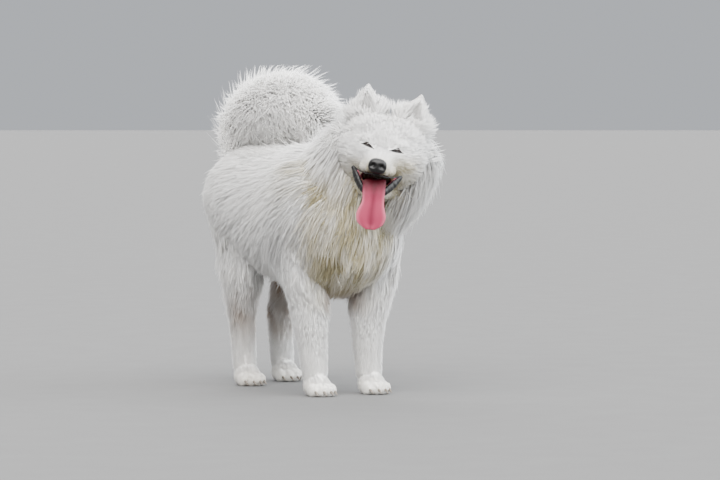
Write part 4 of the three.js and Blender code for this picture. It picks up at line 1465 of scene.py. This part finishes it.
def short_tufts(points, normals, lie, length, lift, width, colours, unwrapped, stray, draw):
    """Tufts that lie along the skin from their roots, lifted by a share of their length."""
    number = len(points)
    way = unit(lie - dot(lie, normals) * normals)
    across = np.cross(normals, way)
    way = unit(way + across * (stray * draw.normal(0, 1, number))[:, None])
    long = (length * draw.uniform(*SHORT_LENGTHS, number))[:, None, None]
    steps = np.array((0, 0.5, 1.0))[None, :, None]
    rise = (lift * draw.uniform(*SHORT_LIFTS, number))[:, None, None]
    paths = points[:, None] + way[:, None] * long * steps
    paths += normals[:, None] * (rise * long * (1 - (1 - steps) ** 2) - SHORT_ROOT_DEPTH)
    outs = np.repeat(normals[:, None], 3, axis=1)
    colours = colours * draw.uniform(*TONES, (number, 1))
    return paths, outs, width * draw.uniform(*SHORT_WIDTHS, number), colours, unwrapped


def head_map(local):
    """Places on an unwrap of the head round its own middle."""
    turn = np.arctan2(local[:, 0], -local[:, 1] + 10) / (2 * math.pi) + 0.5
    lift = np.arctan2(local[:, 2], np.hypot(local[:, 0], local[:, 1])) / math.pi + 0.5
    left, bottom, wide, high = HEAD_MAP
    return np.stack([left + wide * turn, bottom + high * lift], axis=-1)


def is_head(points):
    return ~is_body(points) & (points[:, 2] > CHIN_HEIGHT)


def is_paw(points):
    low, high = PAW_HEIGHTS
    return (points[:, 2] <= high) & (points[:, 2] > low)


def from_eyes(local):
    """How near each place is to an eye, and the way from the eye to it."""
    near, way = np.zeros(len(local)), np.zeros((len(local), 3))
    wide, high = NEAR_EYE["half"]
    for side in BOTH:
        offset = local - mirrored(EYE["at"], side)
        offset[:, 1] = 0
        closeness = np.exp(-((offset[:, 0] / wide) ** 2) - (offset[:, 2] / high) ** 2)
        way += unit(offset * NEAR_EYE["away"]) * closeness[:, None]
        near = np.maximum(near, closeness)
    return near, way


def head_coat(draw):
    """Fur from the nose back over the face, longer on the cheeks and round the ears."""
    points, normals = rooted(is_head, HEAD_SPACING, draw)
    local = to_head(points)
    keep = ~in_mouth(points, normals)
    for rows, clear in LIP_CLEARANCES:
        for side in BOTH:
            for place in spline([mirrored(row[:3], side) for row in rows], 40):
                keep &= np.linalg.norm(local - place, axis=1) > clear
    points, normals, local = points[keep], normals[keep], local[keep]
    x, y, z = local.T
    part = {name: share_in(region, local) for name, region in HEAD_PARTS.items()}
    cup = np.any([ear_tube(EAR_CUP, side).holds(local, -CUP_FUR_MARGIN) for side in BOTH], axis=0)
    near_eye, from_eye = from_eyes(local)

    def towards(way, name):
        return np.array(way) * part[name][:, None]

    def length_of(least, added):
        return least + sum(more * part[name] for name, more in added.items())

    def less(what):
        return 1 - LESS_AT_EYE[what] * near_eye

    lie = unit(local - LIE_FROM)
    lie = lie * (1 - part["ear"])[:, None] + towards(EAR_LIE, "ear")
    lie += towards(CHIN_LIE, "chin") + towards(FLEWS_LIE, "flews")
    lie = unit(lie) * less("lie")[:, None] + from_eye * NEAR_EYE["pull"]
    lie = unit(lie) + towards(NAPE_LIE, "nape")
    aside, _, up = CUP_LIE
    lie = np.where(cup[:, None], np.stack([aside * np.sign(x), 0 * x, up + 0 * x], axis=-1), lie)

    length = np.where(z > EAR_HEIGHTS["length"], length_of(*EAR_LENGTH), length_of(*FACE_LENGTH))
    length = length * less("length")
    depth = np.interp(y, *CROWN_DEPTH) * (1 - part["top"]) + np.interp(y, *TOP_DEPTH) * part["top"]
    lift = np.clip(depth / length, LEAST_LIFT, MOST_LIFT)
    least, more = EAR_LIFT
    lift = np.where(z > EAR_HEIGHTS["lift"], least + more * part["ear_foot"], lift)
    lift = np.where(cup, CUP_LIFT, lift) * less("lift")
    length = np.where(cup, length_of(*CUP_LENGTH), length)
    least, more = FACE_WIDTH
    width = (least + more * part["broad"]) * less("width") + BEHIND_WIDTH * part["behind"]
    least, more = EAR_WIDTH
    width = np.where(z > EAR_HEIGHTS["width"], least + more * cup, width)
    least, more = STRAY
    stray = least + more * (part["behind"] - part["crown"])
    colours = coat_colour(points, draw.random(len(points)))
    lie = lie @ HEAD_TURN.T
    return short_tufts(points, normals, lie, length, lift, width, colours, head_map(local), stray, draw)


def paw_map(points):
    """Places on an unwrap of the paws, side by side, each round its own middle."""
    x, y, z = points.T
    left, bottom, wide, high = PAW_MAP
    paw = (x > 0) + 2.0 * (y > 0)
    angle = np.arctan2(y % 100 - 50, np.abs(x) - 70) / (2 * math.pi) + 0.5
    return np.stack([left + wide * (paw + 0.9 * angle), bottom + high * z / PAW_FUR["below"]], axis=-1)


def paw_coat(draw):
    """Short fur over the paws and toes."""
    points, normals = spread_on_skin(is_paw, PAW_FUR["spacing"], draw)
    lie = np.array((0, -0.6, -1.0)) + 0 * points
    length = 4.5 + 8 * smoothstep(18, 50, points[:, 2])
    colours = coat_colour(points, draw.random(len(points)))
    look = length, PAW_FUR["lift"], PAW_FUR["width"], colours, paw_map(points), PAW_FUR["stray"]
    made = short_tufts(points, normals, lie, *look, draw)
    made[0][..., 2] = np.maximum(made[0][..., 2], PAW_FUR["lowest"])
    return made


add_coat("head_coat", head_coat(np.random.default_rng(SEED + 3)), SHORT_LIMIT)
add_coat("paw_coat", paw_coat(np.random.default_rng(SEED + 4)), SHORT_LIMIT)

# Floor, light and camera

FLOOR_HALF = 80.0
corners = [(x * FLOOR_HALF, y * FLOOR_HALF, 0) for x, y in ((-1, -1), (1, -1), (1, 1), (-1, 1))]
floor_mesh = bpy.data.meshes.new("floor")
floor_mesh.from_pydata(corners, [], [(0, 1, 2, 3)])
floor = linked("floor", floor_mesh)
floor.data.materials.append(material("pale_floor"))

world = bpy.data.worlds.new("studio")
world.use_nodes = True
background = world.node_tree.nodes["Background"]
background.inputs["Color"].default_value = (0.70, 0.73, 0.78, 1)
background.inputs["Strength"].default_value = 0.75
bpy.context.scene.world = world
# Wide soft lights: the place that each shines from, its strength, its width in degrees and its colour
LIGHTS = {
    "key_light": ((-2.2, -3.0, 4.6), 12.0, 70, (1.0, 0.985, 0.96)),
    "fill_light": ((3.4, -2.2, 2.0), 8.0, 80, (0.95, 0.98, 1.0)),
    "back_light": ((1.4, 3.4, 3.4), 3.5, 60, (1.0, 1.0, 1.0)),
}
for name, (place, strength, spread, colour) in LIGHTS.items():
    light = bpy.data.lights.new(name, "SUN")
    light.energy, light.angle, light.color = strength, math.radians(spread), colour
    sun = linked(name, light)
    sun.rotation_euler = Vector(place).to_track_quat("Z", "Y").to_euler()

# Degrees, metres and, for the lens and the sensor, mm
CAMERA = {
    "azimuth": -27,
    "away": 9.0,
    "height": 0.706,
    "yaw": 0.92,
    "pitch": 2.30,
    "lens": 193.15,
    "sensor": 36,
    "farthest": 60,
}
azimuth = math.radians(CAMERA["azimuth"])
camera = linked("camera", bpy.data.cameras.new("camera"))
camera.location = (
    CAMERA["away"] * math.sin(azimuth) + SHIFT[0] * MM,
    -CAMERA["away"] * math.cos(azimuth) + SHIFT[1] * MM,
    CAMERA["height"],
)
camera.rotation_euler = (math.radians(90 - CAMERA["pitch"]), 0, azimuth - math.radians(CAMERA["yaw"]))
camera.data.lens = CAMERA["lens"]
camera.data.sensor_width = CAMERA["sensor"]
camera.data.clip_end = CAMERA["farthest"]
bpy.context.scene.camera = camera
